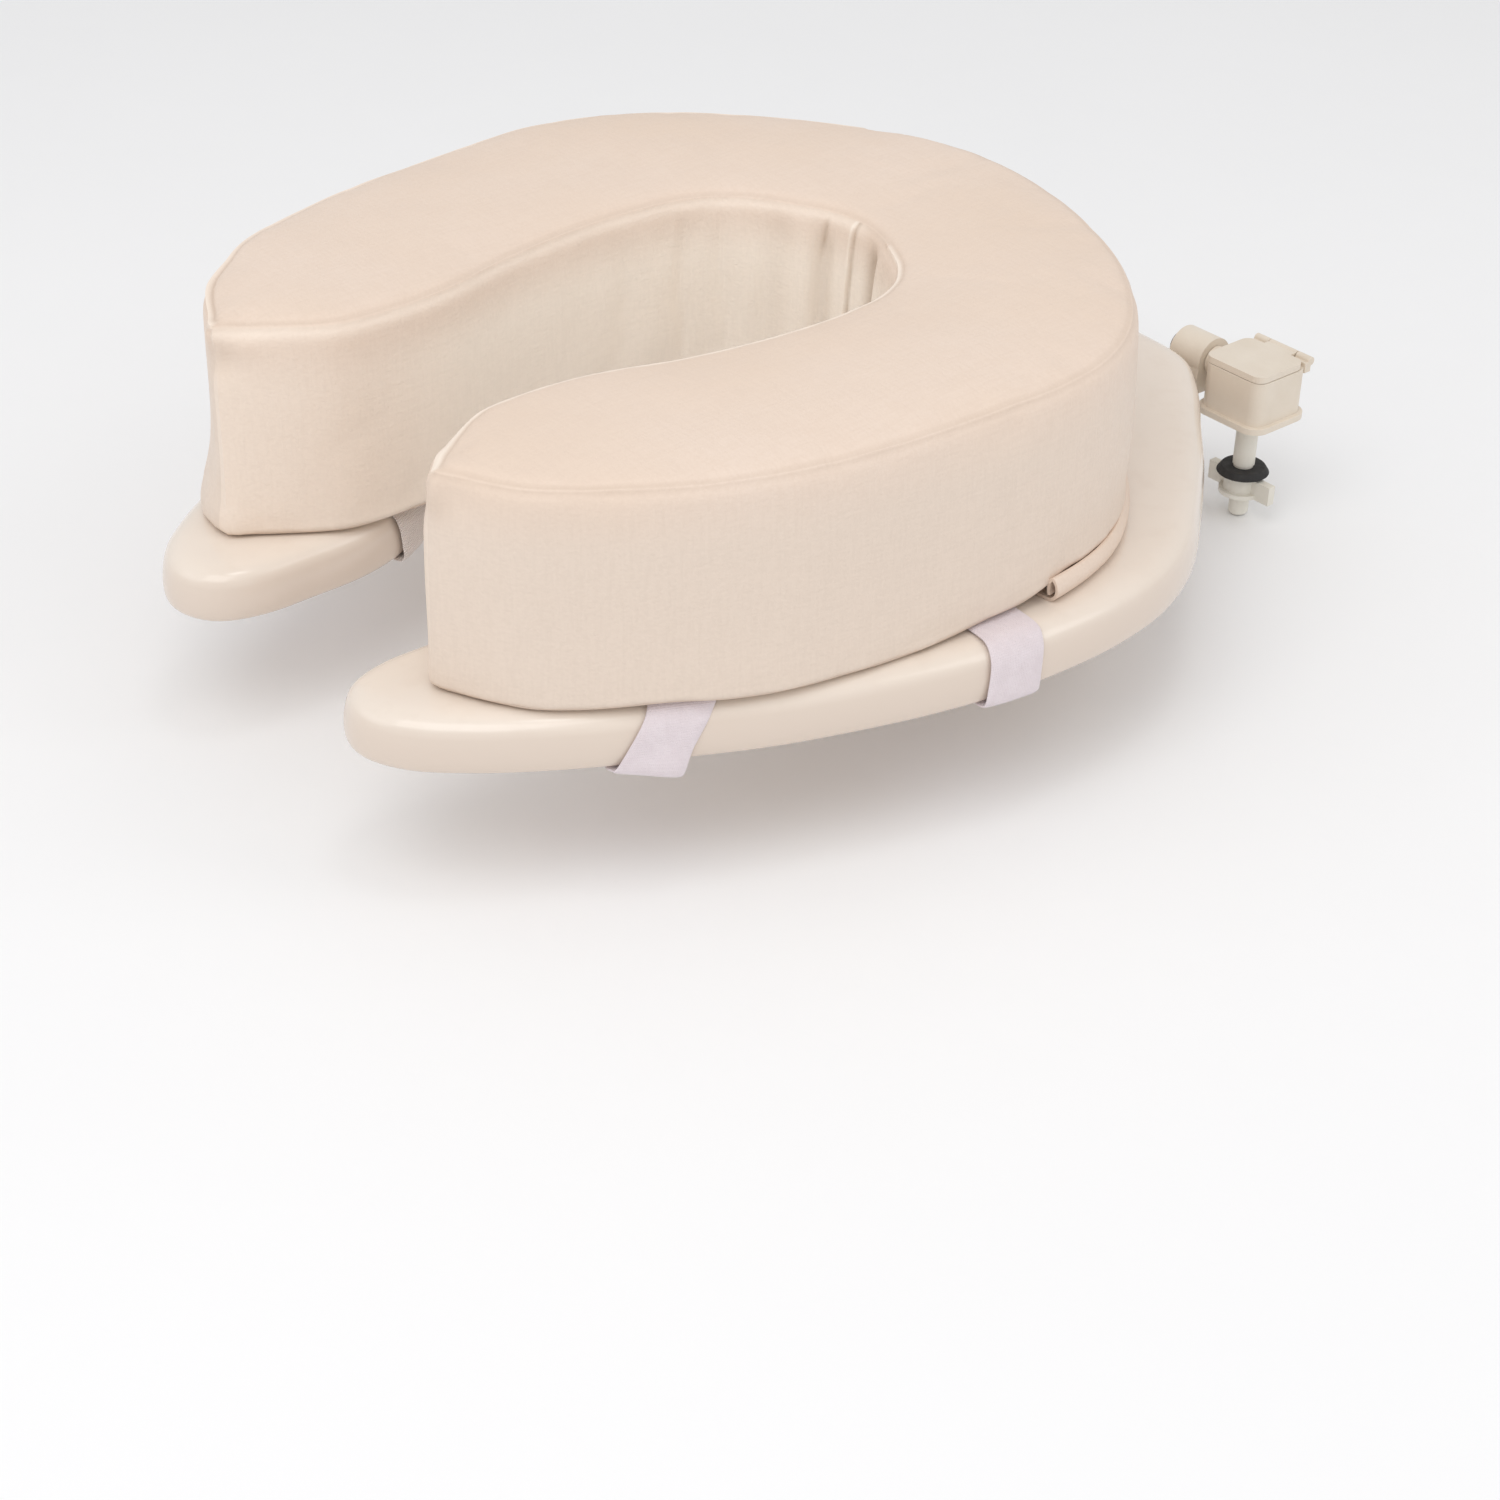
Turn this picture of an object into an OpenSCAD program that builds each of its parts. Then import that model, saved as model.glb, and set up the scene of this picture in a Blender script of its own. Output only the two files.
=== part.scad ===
// Padded riser cushion strapped to an open-front toilet seat, with its hinges.
// Frame: origin midway between the two hinge bolts on the plane of the bowl's
// rim, +X to the right of someone facing the seat from the front, +Y to the
// back, +Z up. The front tips of the seat point to -Y.

/* [Seat ring] */
// Overall width of the seat ring
ring_w = 364; // [356:1:372]
// Distance from the hinge bolts to the front tips of the ring
ring_reach = 468; // [461:1:475]
// Thickness of the seat ring
ring_t = 21.5; // [20:0.5:24]
// Height of the bumpers that stand on the rim
bumper_h = 5.5; // [5.5:0.5:7]
// Radius of a bumper
bumper_r = 8; // [6:0.5:9]

/* [Riser cushion] */
// Overall width of the riser cushion
riser_w = 320; // [312:1:324]
// Length of the riser cushion, back to front tips
riser_l = 345; // [340:1:350]
// Height of the riser cushion above the seat ring
riser_h = 87.5; // [60:0.5:110]
// Thickness of the vinyl cover
vinyl_t = 1; // [0.8:0.1:1.2]
// Room for the closure and the strap roots between ring and cushion
riser_gap = 2.4; // [2.4:0.1:3]
// Depth of the closure flap under the back of the cushion
flap_depth = 26; // [20:1:34]
// Height of the rolled hem along the closure flap
hem_h = 8.5; // [6:0.5:12]
// Width of the rolled hem
hem_w = 4; // [3:0.5:5]

/* [Straps] */
// Width of a hook-and-loop strap
strap_w = 25; // [20:1:28]
// Thickness of a strap
strap_t = 1.5; // [1.2:0.1:1.5]
// Length of an outer strap's tail under the ring
outer_tail_l = 52; // [44:1:56]
// Length of an inner strap's tail under the ring
inner_tail_l = 46; // [38:1:48]
// Where the front straps cross the ring's outer edge, in front of the bolts
front_strap_y = 391; // [385:1:396]
// Where the rear straps cross the ring's outer edge, in front of the bolts
rear_strap_y = 256; // [250:1:262]

/* [Hinges] */
// Distance between the two hinge bolts
bolt_spacing = 140; // [138:1:150]
// Radius of the bolt's shank where it passes through the rim
stud_r = 5; // [4.8:0.1:5.2]
// Thickness of the rim that the bolts clamp
rim_t = 25; // [20:1:28]
// Length of each bolt below the rim plane
bolt_l = 50; // [48:1:56]
// Radius of the hinge pins
pin_r = 4; // [3.5:0.1:4.5]
// Running clearance of a leaf on its pin, at the radius
pin_clear = 0.05; // [0.02:0.01:0.1]
// Height of a hinge post
post_h = 24; // [24:0.5:25]
// Width of a hinge post
post_w = 34; // [32:1:36]

/* [Hidden] */
$fn = 64;
curve_steps = 4;                    // points per station of a smooth outline
ring_z = bumper_h;                  // underside of the ring
ring_top = ring_z + ring_t;         // top of the ring
cushion_z = ring_top + riser_gap;   // underside of the cushion's cover
cushion_top = ring_top + riser_h;   // top of the cushion's cover
axis_z = ring_z + 11.5;             // height of the hinge axis
post_x = bolt_spacing / 2;

// ---- curves and solids --------------------------------------------------

function unit(v) = v / norm(v);
function left_normal(v) = [-v[1], v[0]];
function reversed(list) = [for (i = [len(list) - 1 : -1 : 0]) list[i]];
function mirrored(path) = [for (p = reversed(path)) [-p[0], p[1]]];
function but_last(path) = [for (i = [0 : len(path) - 2]) path[i]];
function part_of(path, first, last) =
  [for (i = [first : last]) path[i % len(path)]];

// Point at fraction u from b to c on a centripetal Catmull-Rom curve
function knot_gap(a, b) = pow(max(norm(b - a), 0.001), 0.5);
function curve_point(a, b, c, d, u) =
  let (t1 = knot_gap(a, b),
       t2 = t1 + knot_gap(b, c),
       t3 = t2 + knot_gap(c, d),
       t = t1 + (t2 - t1) * u,
       ab = (t1 - t) / t1 * a + t / t1 * b,
       bc = (t2 - t) / (t2 - t1) * b + (t - t1) / (t2 - t1) * c,
       cd = (t3 - t) / (t3 - t2) * c + (t - t2) / (t3 - t2) * d,
       abc = (t2 - t) / t2 * ab + t / t2 * bc,
       bcd = (t3 - t) / (t3 - t1) * bc + (t - t1) / (t3 - t1) * cd)
  (t2 - t) / (t2 - t1) * abc + (t - t1) / (t2 - t1) * bcd;

// Smooth closed loop through the stations of a right half and its mirror
function closed_curve(right) =
  let (all = concat(right, but_last(mirrored([for (i = [0 : len(right) - 2]) right[i]]))),
       count = len(all))
  [for (i = [0 : count - 1]) for (j = [0 : curve_steps - 1])
    curve_point(all[(i + count - 1) % count], all[i], all[(i + 1) % count],
                all[(i + 2) % count], j / curve_steps)];

// Smooth curve from the centre line to a sharp corner
function half_curve(path) =
  let (count = len(path))
  concat([for (i = [0 : count - 2]) for (j = [0 : curve_steps - 1])
    curve_point(i == 0 ? [-path[1][0], path[1][1]] : path[i - 1],
                path[i], path[i + 1],
                i + 2 < count ? path[i + 2] : 2 * path[i + 1] - path[i],
                j / curve_steps)],
    [path[count - 1]]);

// A clockwise loop moved inwards by a distance
function inset(path, distance) =
  let (count = len(path))
  [for (i = [0 : count - 1])
    let (n = left_normal(unit(path[i] - path[(i + count - 1) % count])),
         m = left_normal(unit(path[(i + 1) % count] - path[i])))
    path[i] - distance * (n + m) / (1 + n * m)];

// Triangles across a layer, from the loop's outer side to its inner side.
// Within each left or right half, point i lies across from point half - i.
function layer_faces(count, base) =
  let (half = count / 2)
  concat(
    [for (s = [0, half]) for (i = [0 : half / 2 - 1])
      [base + s + i, base + s + i + 1, base + (s + half - i) % count]],
    [for (s = [0, half]) for (i = [0 : half / 2 - 2])
      [base + s + i + 1, base + s + half - i - 1,
       base + (s + half - i) % count]]);

// Solid skinned through copies of one loop; layers are [z, inset]
module skin(path, layers) {
  count = len(path);
  last = len(layers) - 1;
  points = [for (l = layers) for (p = inset(path, l[1])) [p[0], p[1], l[0]]];
  polyhedron(points = points, faces = concat(
    [for (face = layer_faces(count, 0)) reversed(face)],
    layer_faces(count, last * count),
    [for (k = [0 : last - 1]) for (i = [0 : count - 1])
      [k * count + i, k * count + (i + 1) % count,
       (k + 1) * count + (i + 1) % count]],
    [for (k = [0 : last - 1]) for (i = [0 : count - 1])
      [k * count + i, (k + 1) * count + (i + 1) % count,
       (k + 1) * count + i]]));
}

module slab(path, z0, z1) {
  translate([0, 0, z0]) linear_extrude(z1 - z0) polygon(path);
}

// Cylinder that runs from start towards +X
module x_rod(start, length, radius) {
  translate(start) rotate([0, 90, 0]) cylinder(h = length, r = radius);
}

// Centred rectangle with rounded corners
module rounded(width, depth, radius) {
  square([width - 2 * radius, depth], center = true);
  square([width, depth - 2 * radius], center = true);
  for (x = [-1, 1]) for (y = [-1, 1])
    translate([x * (width / 2 - radius), y * (depth / 2 - radius)])
      circle(r = radius);
}

// ---- seat ring ----------------------------------------------------------

// Scales from the size at which the ring's places are listed
ring_scale_x = ring_w / 364;
ring_scale_y = ring_reach / 468;

// Right half, from the back edge round the tip to the inner back:
// [x, distance in front of the bolts]
ring_stations = [
  [0, 14], [26, 14.5], [48, 18], [66, 31], [88, 53], [110, 75], [138, 107],
  [162, 138], [176, 169], [181.5, 200], [182, 228], [179.5, 258],
  [173.5, 288], [164.5, 318], [153.5, 348], [141, 374], [127, 402],
  [112, 427], [98, 446], [83, 461], [64, 468], [46, 460.5], [38.7, 442],
  [38.5, 420], [39.5, 396], [46, 374], [62, 349], [82, 321], [99, 290],
  [110, 255], [112.5, 220], [108, 184], [93, 148], [70, 122], [38, 104],
  [0, 98]
];
ring_loop = closed_curve([for (p = ring_stations)
  [p[0] * ring_scale_x, -p[1] * ring_scale_y]]);

// Rounded section of the ring, bottom to top: [z, inset]
ring_layers = [
  [ring_z, 2.2], [ring_z + 1, 0.6], [ring_z + 2.6, 0],
  [ring_z + 0.55 * ring_t, 0.7], [ring_top - 4.6, 2.2],
  [ring_top - 2.2, 4.4], [ring_top - 0.7, 7.4], [ring_top, 11]
];

// Right-hand bumpers: [x, distance in front of the bolts]
bumper_places = [[72, 438], [146, 176]];
bumper_bevel = 1.2;

module seat_ring() {
  color([0.91, 0.87, 0.80]) skin(ring_loop, ring_layers);
}

module bumper() {
  cylinder(h = bumper_bevel, r1 = bumper_r - bumper_bevel, r2 = bumper_r);
  translate([0, 0, bumper_bevel])
    cylinder(h = bumper_h - bumper_bevel, r = bumper_r);
}
module ring_bumpers() {
  color([0.86, 0.82, 0.75])
    for (side = [-1, 1]) for (p = bumper_places)
      translate([side * p[0] * ring_scale_x, -p[1] * ring_scale_y, 0])
        bumper();
}

// ---- hinge leaves and pins ----------------------------------------------

leaf_in = 28;                     // inner face of a leaf
leaf_out = post_x - 24;           // outer face of a leaf
leaf_z = ring_z - 3;              // underside of a leaf
knuckle_r = 10;
screw_x = (leaf_in + leaf_out) / 2;
screw_y = [-31, -50];
screw_r = 2;
screw_head_h = 1.3;
leaf_color = [0.90, 0.86, 0.79];

// Plate under the ring and its rise to the knuckle: [y, z]
leaf_profile = [
  [-60, leaf_z], [-60, ring_z - 0.1], [-12, ring_z - 0.1],
  [-10.4, axis_z - 8], [-9.5, axis_z], [0, axis_z], [9, axis_z - 4],
  [4, ring_z - 0.6], [-3, leaf_z]
];

module right_leaf() {
  difference() {
    translate([leaf_in, 0, 0]) rotate([90, 0, 90])
      linear_extrude(leaf_out - leaf_in)
        difference() {
          union() {
            translate([0, axis_z]) circle(r = knuckle_r);
            polygon(leaf_profile);
          }
          translate([0, axis_z]) circle(r = pin_r + pin_clear);
        }
    for (y = screw_y)
      translate([screw_x, y, leaf_z - 1]) cylinder(h = 5, r = screw_r + 0.05);
  }
}
module right_hinge_leaf() { color(leaf_color) right_leaf(); }
module left_hinge_leaf() { color(leaf_color) mirror([1, 0, 0]) right_leaf(); }

// Cross-slotted screw, head down, with its origin under the head
module leaf_screw() {
  difference() {
    cylinder(h = screw_head_h, r = 3.6);
    for (angle = [0, 90]) rotate([0, 0, angle])
      translate([-2.2, -0.4, -0.1]) cube([4.4, 0.8, 0.7]);
  }
  translate([0, 0, screw_head_h]) cylinder(h = 14, r = screw_r);
}
// Screws that hold the leaves to the underside of the ring
module leaf_screws() {
  color("silver")
    for (side = [-1, 1]) for (y = screw_y)
      translate([side * screw_x, y, leaf_z - screw_head_h]) leaf_screw();
}

pin_seat = 5;                     // depth of the pin in the post's side
pin_start = leaf_in - 2;          // inner end of the pin, inside its head

module right_pin() {
  x_rod([pin_start, 0, axis_z],
        post_x - post_w / 2 + pin_seat - pin_start, pin_r);
  x_rod([leaf_in - 3.6, 0, axis_z], 3.2, pin_r + 2);
}
module right_hinge_pin() { color("silver") right_pin(); }
module left_hinge_pin() { color("silver") mirror([1, 0, 0]) right_pin(); }

// ---- hinge posts and caps -----------------------------------------------

post_depth = 32;
boss_reach = 6.7;                 // pin boss beyond the post's inner side
bore_reach = 8;                   // start of the bore's cut, clear of the boss
bolt_head_z = 12;                 // underside of the bolt's head in the post
bolt_head_r = 9;

cap_y = 18.2;                     // cap hinge line, behind the bolt
cap_z = post_h + 1.8;
cap_knuckle_r = 2;
cap_knuckle_x = 7.8;              // half length of the cap's knuckle
cap_rod_x = 9;                    // half length of the rod through it
cap_rod_r = 1;
lug_x = 8.2;                      // inner faces of the post's two lugs
lug_w = post_w / 2 - 1 - lug_x;
lug_y = 14.4;
lug_z = post_h - 3;
post_color = [0.92, 0.88, 0.81];

// Post that stands on the rim, with the pin boss on its inner side
module right_post() {
  translate([post_x, 0, 0]) {
    difference() {
      union() {
        linear_extrude(post_h) rounded(post_w, post_depth, 6);
        linear_extrude(3) rounded(post_w + 4, post_depth + 4, 8);
        x_rod([-(post_w / 2 + boss_reach), 0, axis_z], 12, 6.6);
        for (x = [-lug_x - lug_w, lug_x]) {
          translate([x, lug_y, lug_z])
            cube([lug_w, cap_y - lug_y, cap_z - lug_z]);
          x_rod([x, cap_y, cap_z], lug_w, cap_knuckle_r);
        }
        x_rod([-cap_rod_x, cap_y, cap_z], 2 * cap_rod_x, cap_rod_r);
      }
      translate([0, 0, -1]) cylinder(h = post_h, r = stud_r + 0.45);
      translate([0, 0, bolt_head_z])
        cylinder(h = post_h, r = bolt_head_r + 0.5);
      x_rod([-(post_w / 2 + bore_reach), 0, axis_z],
            bore_reach + pin_seat + 0.4, pin_r + 0.02);
    }
  }
}
module right_hinge_post() { color(post_color) right_post(); }
module left_hinge_post() { color(post_color) mirror([1, 0, 0]) right_post(); }

// Cap over the bolt's head, on a hinge line at the back of the post
module right_cap() {
  translate([post_x, 0, 0]) difference() {
    union() {
      translate([0, -1.2, post_h + 0.3]) linear_extrude(3)
        rounded(post_w - 0.6, 29.4, 5);
      translate([-cap_knuckle_x, 12, post_h + 0.9])
        cube([2 * cap_knuckle_x, cap_y - 12, 2.4]);
      x_rod([-cap_knuckle_x, cap_y, cap_z], 2 * cap_knuckle_x, cap_knuckle_r);
    }
    x_rod([-cap_rod_x, cap_y, cap_z], 2 * cap_rod_x, cap_rod_r + 0.05);
  }
}
module right_bolt_cap() { color(post_color) right_cap(); }
module left_bolt_cap() { color(post_color) mirror([1, 0, 0]) right_cap(); }

// ---- bolts, washers and nuts --------------------------------------------

bolt_head_h = 5;
thread_r = stud_r - 0.5;
bolt_tip_h = 1;
washer_z = -rim_t - 4;
nut_h = 10;
bolt_color = [0.93, 0.91, 0.87];

module at_bolts(z) {
  for (side = [-1, 1]) translate([side * post_x, 0, z]) children();
}

// Slotted bolt: head in the post, shank through the rim, thread below it
module bolt() {
  difference() {
    translate([0, 0, bolt_head_z]) cylinder(h = bolt_head_h, r = bolt_head_r);
    translate([-10, -1.1, bolt_head_z + 3]) cube([20, 2.2, 3]);
  }
  cylinder(h = bolt_head_z, r = stud_r + 0.4);
  translate([0, 0, -rim_t]) cylinder(h = rim_t, r = stud_r);
  translate([0, 0, -bolt_l + bolt_tip_h])
    cylinder(h = bolt_l - rim_t - bolt_tip_h, r = thread_r);
  translate([0, 0, -bolt_l])
    cylinder(h = bolt_tip_h, r1 = stud_r - 1.3, r2 = thread_r);
}
module hinge_bolts() { color(bolt_color) at_bolts(0) bolt(); }

module washer() {
  difference() {
    cylinder(h = 3, r1 = 12, r2 = 10);
    translate([0, 0, -1]) cylinder(h = 5, r = stud_r - 0.4);
  }
}
module rim_washers() { color([0.25, 0.25, 0.26]) at_bolts(washer_z) washer(); }

module wing_nut() {
  difference() {
    union() {
      cylinder(h = nut_h, r = 8);
      cylinder(h = 2, r = 10);
      for (side = [-1, 1])
        translate([side * 12 - 6, -2, 0]) cube([12, 4, 9]);
    }
    translate([0, 0, -1]) cylinder(h = nut_h + 2, r = stud_r - 0.48);
  }
}
module wing_nuts() {
  color(bolt_color) at_bolts(washer_z - 0.2 - nut_h) wing_nut();
}

// ---- riser cushion ------------------------------------------------------

// Right half of the outer and inner edges, from the back to the tip corner:
// [x, distance behind the front tips]
riser_outer_stations = [
  [0, 345], [33, 341], [64, 330.5], [93, 316], [118.5, 297], [140, 274],
  [154, 247.5], [160, 216], [160, 183.5], [158.5, 150], [154.5, 118],
  [147, 88], [134, 59], [119, 36], [103, 17], [72, 0]
];
riser_inner_stations = [
  [0, 259], [15, 256.5], [29, 249.5], [42, 242], [53, 231], [60, 216],
  [62.5, 198], [63, 179], [61, 155], [55, 121], [48, 97], [44.5, 78],
  [44, 56], [46.5, 38], [72, 0]
];
riser_tip_y = -436;               // front tips of the cushion

// Stations are listed for a cushion 320 wide and 345 long
function riser_curve(stations) = half_curve([for (p = stations)
  [p[0] * riser_w / 320, riser_tip_y + p[1] * riser_l / 345]]);
riser_outer = riser_curve(riser_outer_stations);
riser_inner = riser_curve(riser_inner_stations);

// Clockwise loop: left tip, outer back, right tip, inner back
riser_loop = concat(but_last(mirrored(riser_outer)), but_last(riser_outer),
                    but_last(reversed(riser_inner)),
                    but_last(mirrored(reversed(riser_inner))));
back_i = len(riser_outer) - 1;    // index of the outer back's middle
right_tip_i = 2 * back_i;
closure_first = back_i - 7 * curve_steps;
closure_last = back_i + 7 * curve_steps;

flap_z = ring_top + 0.1;
flap_top = ring_top + 1;
hem_inset = -0.4;                 // inner side of the hem, behind the band
closure_mid_z = (flap_top + cushion_z) / 2;
flap_color = [0.90, 0.84, 0.77];

// Strip between two insets of the cushion's loop, from index first to last
module strip(first, last, inset0, inset1, z0, z1) {
  slab(concat(part_of(inset(riser_loop, inset0), first, last),
              reversed(part_of(inset(riser_loop, inset1), first, last))),
       z0, z1);
}

// Slab that fills the cushion's plan inside the bands
module filling(z0, z1) { slab(inset(riser_loop, vinyl_t), z0, z1); }

module foam_core() {
  color([0.93, 0.90, 0.74])
    filling(cushion_z + vinyl_t, cushion_top - vinyl_t);
}
module cover_top_panel() {
  color([0.91, 0.85, 0.78]) filling(cushion_top - vinyl_t, cushion_top);
}
module cover_bottom_panel() {
  color([0.86, 0.80, 0.72]) filling(cushion_z, cushion_z + vinyl_t);
}
module cover_outer_band() {
  color([0.90, 0.84, 0.77])
    strip(0, right_tip_i, 0, vinyl_t, cushion_z, cushion_top);
}
module cover_inner_band() {
  color([0.89, 0.83, 0.75])
    strip(right_tip_i, len(riser_loop), 0, vinyl_t, cushion_z, cushion_top);
}

// Flap of the cover that closes its back, ending in a rolled hem
module closure_flap() {
  color(flap_color) {
    strip(closure_first, closure_last, hem_inset - hem_w, flap_depth,
          flap_z, flap_top);
    strip(closure_first, closure_last, hem_inset - hem_w, hem_inset,
          flap_z, ring_top + hem_h);
  }
}

// Fastening strip between the flap and the cushion's underside
module closure_strip(z0, z1) {
  strip(closure_first + 2, closure_last - 2, 5, 21, z0, z1);
}
module closure_hook_strip() {
  color([0.84, 0.82, 0.80]) closure_strip(flap_top, closure_mid_z);
}
module closure_loop_strip() {
  color([0.88, 0.86, 0.85]) closure_strip(closure_mid_z, cushion_z);
}

// ---- straps -------------------------------------------------------------

strap_clear = 0.3;                // clearance of a strap above or below the ring
strap_off = 0.9;                  // clearance outside the ring's edge
outer_fold_z = ring_z - 2 * strap_clear - 1.5 * strap_t;
inner_fold_z = ring_z - strap_clear - 0.5 * strap_t;
fold_x = strap_off + strap_t / 2; // fold line outside the edge
front_tail_extra = 6;
rear_tail_extra = -4;
outer_color = [0.90, 0.88, 0.89];
inner_color = [0.86, 0.84, 0.86];

// Where the ring's edge passes y within a range of loop indices:
// [point, outward normal]
function edge_at(y, range) =
  [for (i = [range[0] : range[1]])
    let (p = ring_loop[i], q = ring_loop[i + 1])
    if ((p[1] - y) * (q[1] - y) <= 0)
      [p + (y - p[1]) / (q[1] - p[1]) * (q - p), left_normal(unit(q - p))]][0];

outer_range = [20, 76];           // right half, outer edge
inner_range = [92, 130];          // right half, inner edge
front_out = edge_at(-front_strap_y, outer_range);
front_in = edge_at(-front_strap_y + 26, inner_range);
rear_out = edge_at(-rear_strap_y, outer_range);
rear_in = edge_at(-rear_strap_y + 11, inner_range);

// Moves to a strap's crossing: +X leaves the ring, +Y runs along its edge
module at_edge(edge) {
  translate([edge[0][0], edge[0][1], 0])
    rotate([0, 0, atan2(edge[1][1], edge[1][0])]) children();
}

// Direction to the opposite strap, and half the strap's width along the edge
function towards(edge, opposite) = unit(opposite[0] - edge[0]);
function half_width(edge, opposite) =
  strap_w / 2 / abs(towards(edge, opposite) * edge[1]);

// Strap from the cushion's underside, over the ring and down its edge.
// Root is its reach in over the ring, lean the shift of its top along the edge.
module strap_upper(edge, opposite, fold_z, root, lean) {
  half = half_width(edge, opposite);
  bottom = fold_z + strap_t / 2 + 0.2;
  root_z = ring_top + strap_clear;
  top = root_z + strap_t;
  at_edge(edge) {
    translate([strap_off, 0, 0]) rotate([90, 0, 90]) linear_extrude(strap_t)
      polygon([[-half, bottom], [half, bottom],
               [half + lean, top], [-half + lean, top]]);
    translate([-root, lean - half, root_z])
      cube([root + strap_off + strap_t, 2 * half, strap_t]);
  }
}

// Tail that lies under the ring and reaches towards the opposite strap
module strap_tail(edge, opposite, fold_z, length) {
  half = half_width(edge, opposite);
  direction = towards(edge, opposite);
  reach = [direction * edge[1], direction * left_normal(edge[1])] * length;
  at_edge(edge) {
    translate([fold_x, half, fold_z]) rotate([90, 0, 0])
      cylinder(h = 2 * half, r = strap_t / 2);
    translate([0, 0, fold_z - strap_t / 2]) linear_extrude(strap_t)
      polygon([[fold_x, -half], [fold_x, half],
               [fold_x, half] + reach, [fold_x, -half] + reach]);
  }
}

// Right-hand straps and tails
module front_outer() { strap_upper(front_out, front_in, outer_fold_z, root = 16, lean = 16); }
module front_inner() { strap_upper(front_in, front_out, inner_fold_z, root = 12, lean = 0); }
module rear_outer() { strap_upper(rear_out, rear_in, outer_fold_z, root = 24, lean = 5); }
module rear_inner() { strap_upper(rear_in, rear_out, inner_fold_z, root = 12, lean = 0); }
module front_outer_end() {
  strap_tail(front_out, front_in, outer_fold_z, outer_tail_l + front_tail_extra);
}
module front_inner_end() {
  strap_tail(front_in, front_out, inner_fold_z, inner_tail_l + front_tail_extra);
}
module rear_outer_end() {
  strap_tail(rear_out, rear_in, outer_fold_z, outer_tail_l + rear_tail_extra);
}
module rear_inner_end() {
  strap_tail(rear_in, rear_out, inner_fold_z, inner_tail_l + rear_tail_extra);
}

module front_right_outer_strap() { color(outer_color) front_outer(); }
module front_right_outer_tail() { color(outer_color) front_outer_end(); }
module front_right_inner_strap() { color(inner_color) front_inner(); }
module front_right_inner_tail() { color(inner_color) front_inner_end(); }
module front_left_outer_strap() { color(outer_color) mirror([1, 0, 0]) front_outer(); }
module front_left_outer_tail() { color(outer_color) mirror([1, 0, 0]) front_outer_end(); }
module front_left_inner_strap() { color(inner_color) mirror([1, 0, 0]) front_inner(); }
module front_left_inner_tail() { color(inner_color) mirror([1, 0, 0]) front_inner_end(); }
module rear_right_outer_strap() { color(outer_color) rear_outer(); }
module rear_right_outer_tail() { color(outer_color) rear_outer_end(); }
module rear_right_inner_strap() { color(inner_color) rear_inner(); }
module rear_right_inner_tail() { color(inner_color) rear_inner_end(); }
module rear_left_outer_strap() { color(outer_color) mirror([1, 0, 0]) rear_outer(); }
module rear_left_outer_tail() { color(outer_color) mirror([1, 0, 0]) rear_outer_end(); }
module rear_left_inner_strap() { color(inner_color) mirror([1, 0, 0]) rear_inner(); }
module rear_left_inner_tail() { color(inner_color) mirror([1, 0, 0]) rear_inner_end(); }

seat_ring();
ring_bumpers();
left_hinge_leaf();
right_hinge_leaf();
leaf_screws();
left_hinge_post();
right_hinge_post();
left_hinge_pin();
right_hinge_pin();
hinge_bolts();
rim_washers();
wing_nuts();
left_bolt_cap();
right_bolt_cap();
foam_core();
cover_top_panel();
cover_outer_band();
cover_inner_band();
cover_bottom_panel();
closure_flap();
closure_hook_strip();
closure_loop_strip();
front_left_outer_strap();
front_left_outer_tail();
front_left_inner_strap();
front_left_inner_tail();
front_right_outer_strap();
front_right_outer_tail();
front_right_inner_strap();
front_right_inner_tail();
rear_left_outer_strap();
rear_left_outer_tail();
rear_left_inner_strap();
rear_left_inner_tail();
rear_right_outer_strap();
rear_right_outer_tail();
rear_right_inner_strap();
rear_right_inner_tail();
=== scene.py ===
"""Open-front seat ring with a padded U-shaped cushion, tape straps and hinges at the back.

+X is right and +Z is up. The hinges are at the back, near y = 0, and the open front faces -Y.
Lengths are in mm up to the stage section, which is in metres; meshes are stored in metres.
"""
import math

import bmesh
import bpy
import numpy as np
from mathutils import Matrix, Vector, noise


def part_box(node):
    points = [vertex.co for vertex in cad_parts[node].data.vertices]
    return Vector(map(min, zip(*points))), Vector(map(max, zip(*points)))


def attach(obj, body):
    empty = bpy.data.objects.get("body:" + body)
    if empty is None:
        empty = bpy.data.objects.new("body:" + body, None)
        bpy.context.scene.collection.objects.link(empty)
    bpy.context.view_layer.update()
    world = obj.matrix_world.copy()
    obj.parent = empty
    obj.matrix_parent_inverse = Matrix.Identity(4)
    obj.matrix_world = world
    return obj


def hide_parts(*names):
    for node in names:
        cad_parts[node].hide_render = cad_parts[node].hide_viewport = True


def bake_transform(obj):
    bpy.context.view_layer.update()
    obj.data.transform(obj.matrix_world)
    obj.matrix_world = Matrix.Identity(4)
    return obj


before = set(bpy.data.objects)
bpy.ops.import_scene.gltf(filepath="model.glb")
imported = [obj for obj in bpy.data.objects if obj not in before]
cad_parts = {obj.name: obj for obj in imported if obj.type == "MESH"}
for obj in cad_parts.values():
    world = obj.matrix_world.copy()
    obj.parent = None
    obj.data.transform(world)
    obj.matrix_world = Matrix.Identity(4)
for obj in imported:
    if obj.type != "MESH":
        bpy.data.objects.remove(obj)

MIRROR = np.array([-1.0, 1.0])      # swaps left and right in plan


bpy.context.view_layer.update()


# ---------------------------------------------------------------- numbers

def box(node):
    """Low and high corners of a CAD piece."""
    low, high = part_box(node)
    return np.array(low) * 1000.0, np.array(high) * 1000.0


def ease(t):
    """Smooth step from 0 to 1."""
    t = np.clip(t, 0.0, 1.0)
    return t * t * (3.0 - 2.0 * t)


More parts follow.
